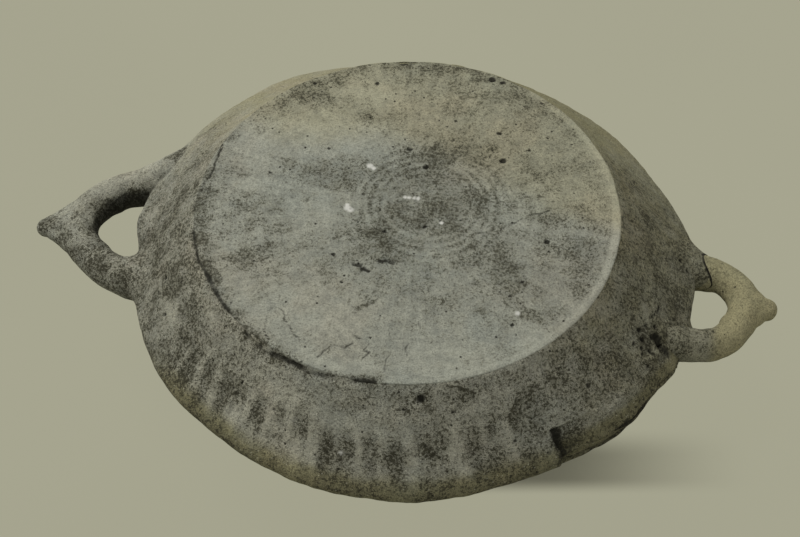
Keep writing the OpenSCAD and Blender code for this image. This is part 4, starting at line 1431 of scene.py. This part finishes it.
class FLASK_OT_stage(bpy.types.Operator):
    """Makes the floor, the light and the camera"""

    bl_idname = "flask.stage"
    bl_label = "Stage"

    def execute(self, context):
        scene, stage = context.scene, context.scene.flask_stage
        scene.view_settings.view_transform = "Standard"
        self.floor(stage)
        self.light(scene, stage)
        self.camera(scene, stage)
        return {"FINISHED"}

    def floor(self, stage):
        material = bpy.data.materials.new("floor_paper")
        n = with_nodes(material)
        place = n.add("ShaderNodeTexCoord", out="Object")
        cloud = n.noise(place, 0.5, 3.0)
        colour = n.mix(cloud.fade(0.35, 0.65) * 0.5, rgba(stage.floor), rgba(stage.floor, 0.95))
        paper = n.add("ShaderNodeBsdfDiffuse", {}, {"Color": colour})
        glow = n.add("ShaderNodeEmission", {}, {"Color": colour, "Strength": 1.0})
        rays = n.add("ShaderNodeLightPath")

        # The camera sees paper that glows evenly, but for the place to the lower right where the shadow shows
        x, y = n.part(place, 0), n.part(place, 1)
        c, s = math.cos(stage.azimuth), math.sin(stage.azimuth)
        along, away = x * c + y * s, y * c - x * s
        shaded = away.fade(-0.100, -0.089) * away.fade(-0.056, -0.076) * along.fade(0.0, 0.05) * along.fade(0.19, 0.07)
        lit = n.add("ShaderNodeMixShader", {}, {0: rays * (0.96 - shaded * 0.84), 1: paper, 2: glow})
        n.add("ShaderNodeOutputMaterial", {}, {"Surface": lit})
        half = 12.0
        mesh = bpy.data.meshes.new("floor")
        mesh.from_pydata([(-half, -half, 0), (half, -half, 0), (half, half, 0), (-half, half, 0)], [], [(0, 1, 2, 3)])
        mesh.materials.append(material)
        floor = new_object("floor", mesh)

    def light(self, scene, stage):
        world = bpy.data.worlds.new("studio")
        n = with_nodes(world)
        shown = n.add("ShaderNodeBackground", {}, {"Color": rgba(stage.floor), "Strength": 1.0})
        soft = n.add("ShaderNodeBackground", {}, {"Color": (1.0, 0.99, 0.97, 1.0), "Strength": stage.sky})
        rays = n.add("ShaderNodeLightPath")
        both = n.add("ShaderNodeMixShader", {}, {0: rays, 1: soft, 2: shown})
        n.add("ShaderNodeOutputWorld", {}, {"Surface": both})
        scene.world = world
        lamp = bpy.data.lights.new("key", "AREA")
        lamp.shape, lamp.size, lamp.energy = "DISK", 0.7, stage.key
        lamp.color = (1.0, 0.985, 0.96)
        key = new_object("key", lamp)
        place = Vector((-0.95, 0.55, 1.3))
        key.location = place
        key.rotation_mode = "QUATERNION"
        key.rotation_quaternion = (Vector((0, 0, 0.08)) - place).to_track_quat("-Z", "Y")

    def camera(self, scene, stage):
        """The photograph's own view: aimed a little off the seam's centre and rolled a third of a degree."""
        sensor, image_width = 36.0, 800
        focal_px = stage.lens / sensor * image_width
        right_px, up_px, roll_angle = 13.5, 8.8, math.radians(0.31)
        e, a = stage.elevation, stage.azimuth
        back = Vector((math.sin(a) * math.cos(e), -math.cos(a) * math.cos(e), math.sin(e)))
        right = (-back).cross(Vector((0, 0, 1))).normalized()
        axes = Matrix((right, right.cross(-back), -back))
        pan, tilt = math.atan(right_px / focal_px), math.atan(up_px / focal_px)
        for turn, axis in ((pan, "Y"), (-tilt, "X"), (roll_angle, "Z")):
            axes = Matrix.Rotation(turn, 3, axis) @ axes
        data = bpy.data.cameras.new("camera")
        data.lens, data.sensor_width = stage.lens, sensor
        camera = new_object("camera", data)
        matrix = Matrix((axes[0], axes[1], -axes[2])).transposed().to_4x4()
        matrix.translation = Vector((0, 0, SEAM_Z * MM)) + back * stage.distance
        camera.matrix_world = matrix
        scene.camera = camera


class FLASK_PT_panel(bpy.types.Panel):
    """Lists the flask's pieces, sizes and colours"""

    bl_idname = "FLASK_PT_panel"
    bl_label = "Clay Flask"
    bl_space_type = "VIEW_3D"
    bl_region_type = "UI"
    bl_category = "Flask"

    def draw(self, context):
        layout = self.layout
        for operator in OPERATORS:
            layout.operator(operator.bl_idname)
        for group in (context.scene.flask_body, context.scene.flask_clay, context.scene.flask_stage):
            box = layout.box()
            for name in group.__annotations__:
                box.prop(group, name)


GROUPS = {"flask_body": FlaskBody, "flask_clay": FlaskClay, "flask_stage": FlaskStage}
OPERATORS = (
    FLASK_OT_front_disc, FLASK_OT_front_wall, FLASK_OT_seam_band, FLASK_OT_back_shell, FLASK_OT_neck,
    FLASK_OT_handles, FLASK_OT_seam_coil, FLASK_OT_stage,
)


def register():
    for item in (*GROUPS.values(), *OPERATORS, FLASK_PT_panel):
        bpy.utils.register_class(item)
    for name, group in GROUPS.items():
        setattr(bpy.types.Scene, name, PointerProperty(type=group))


def unregister():
    for name in GROUPS:
        delattr(bpy.types.Scene, name)
    for item in (FLASK_PT_panel, *OPERATORS, *GROUPS.values()):
        bpy.utils.unregister_class(item)


def main():
    register()
    bpy.ops.flask.stage()
    bpy.ops.flask.front_disc()
    bpy.ops.flask.front_wall()
    bpy.ops.flask.seam_band()
    bpy.ops.flask.back_shell()
    bpy.ops.flask.neck()
    bpy.ops.flask.handles()
    bpy.ops.flask.seam_coil()


if __name__ == "__main__":
    main()
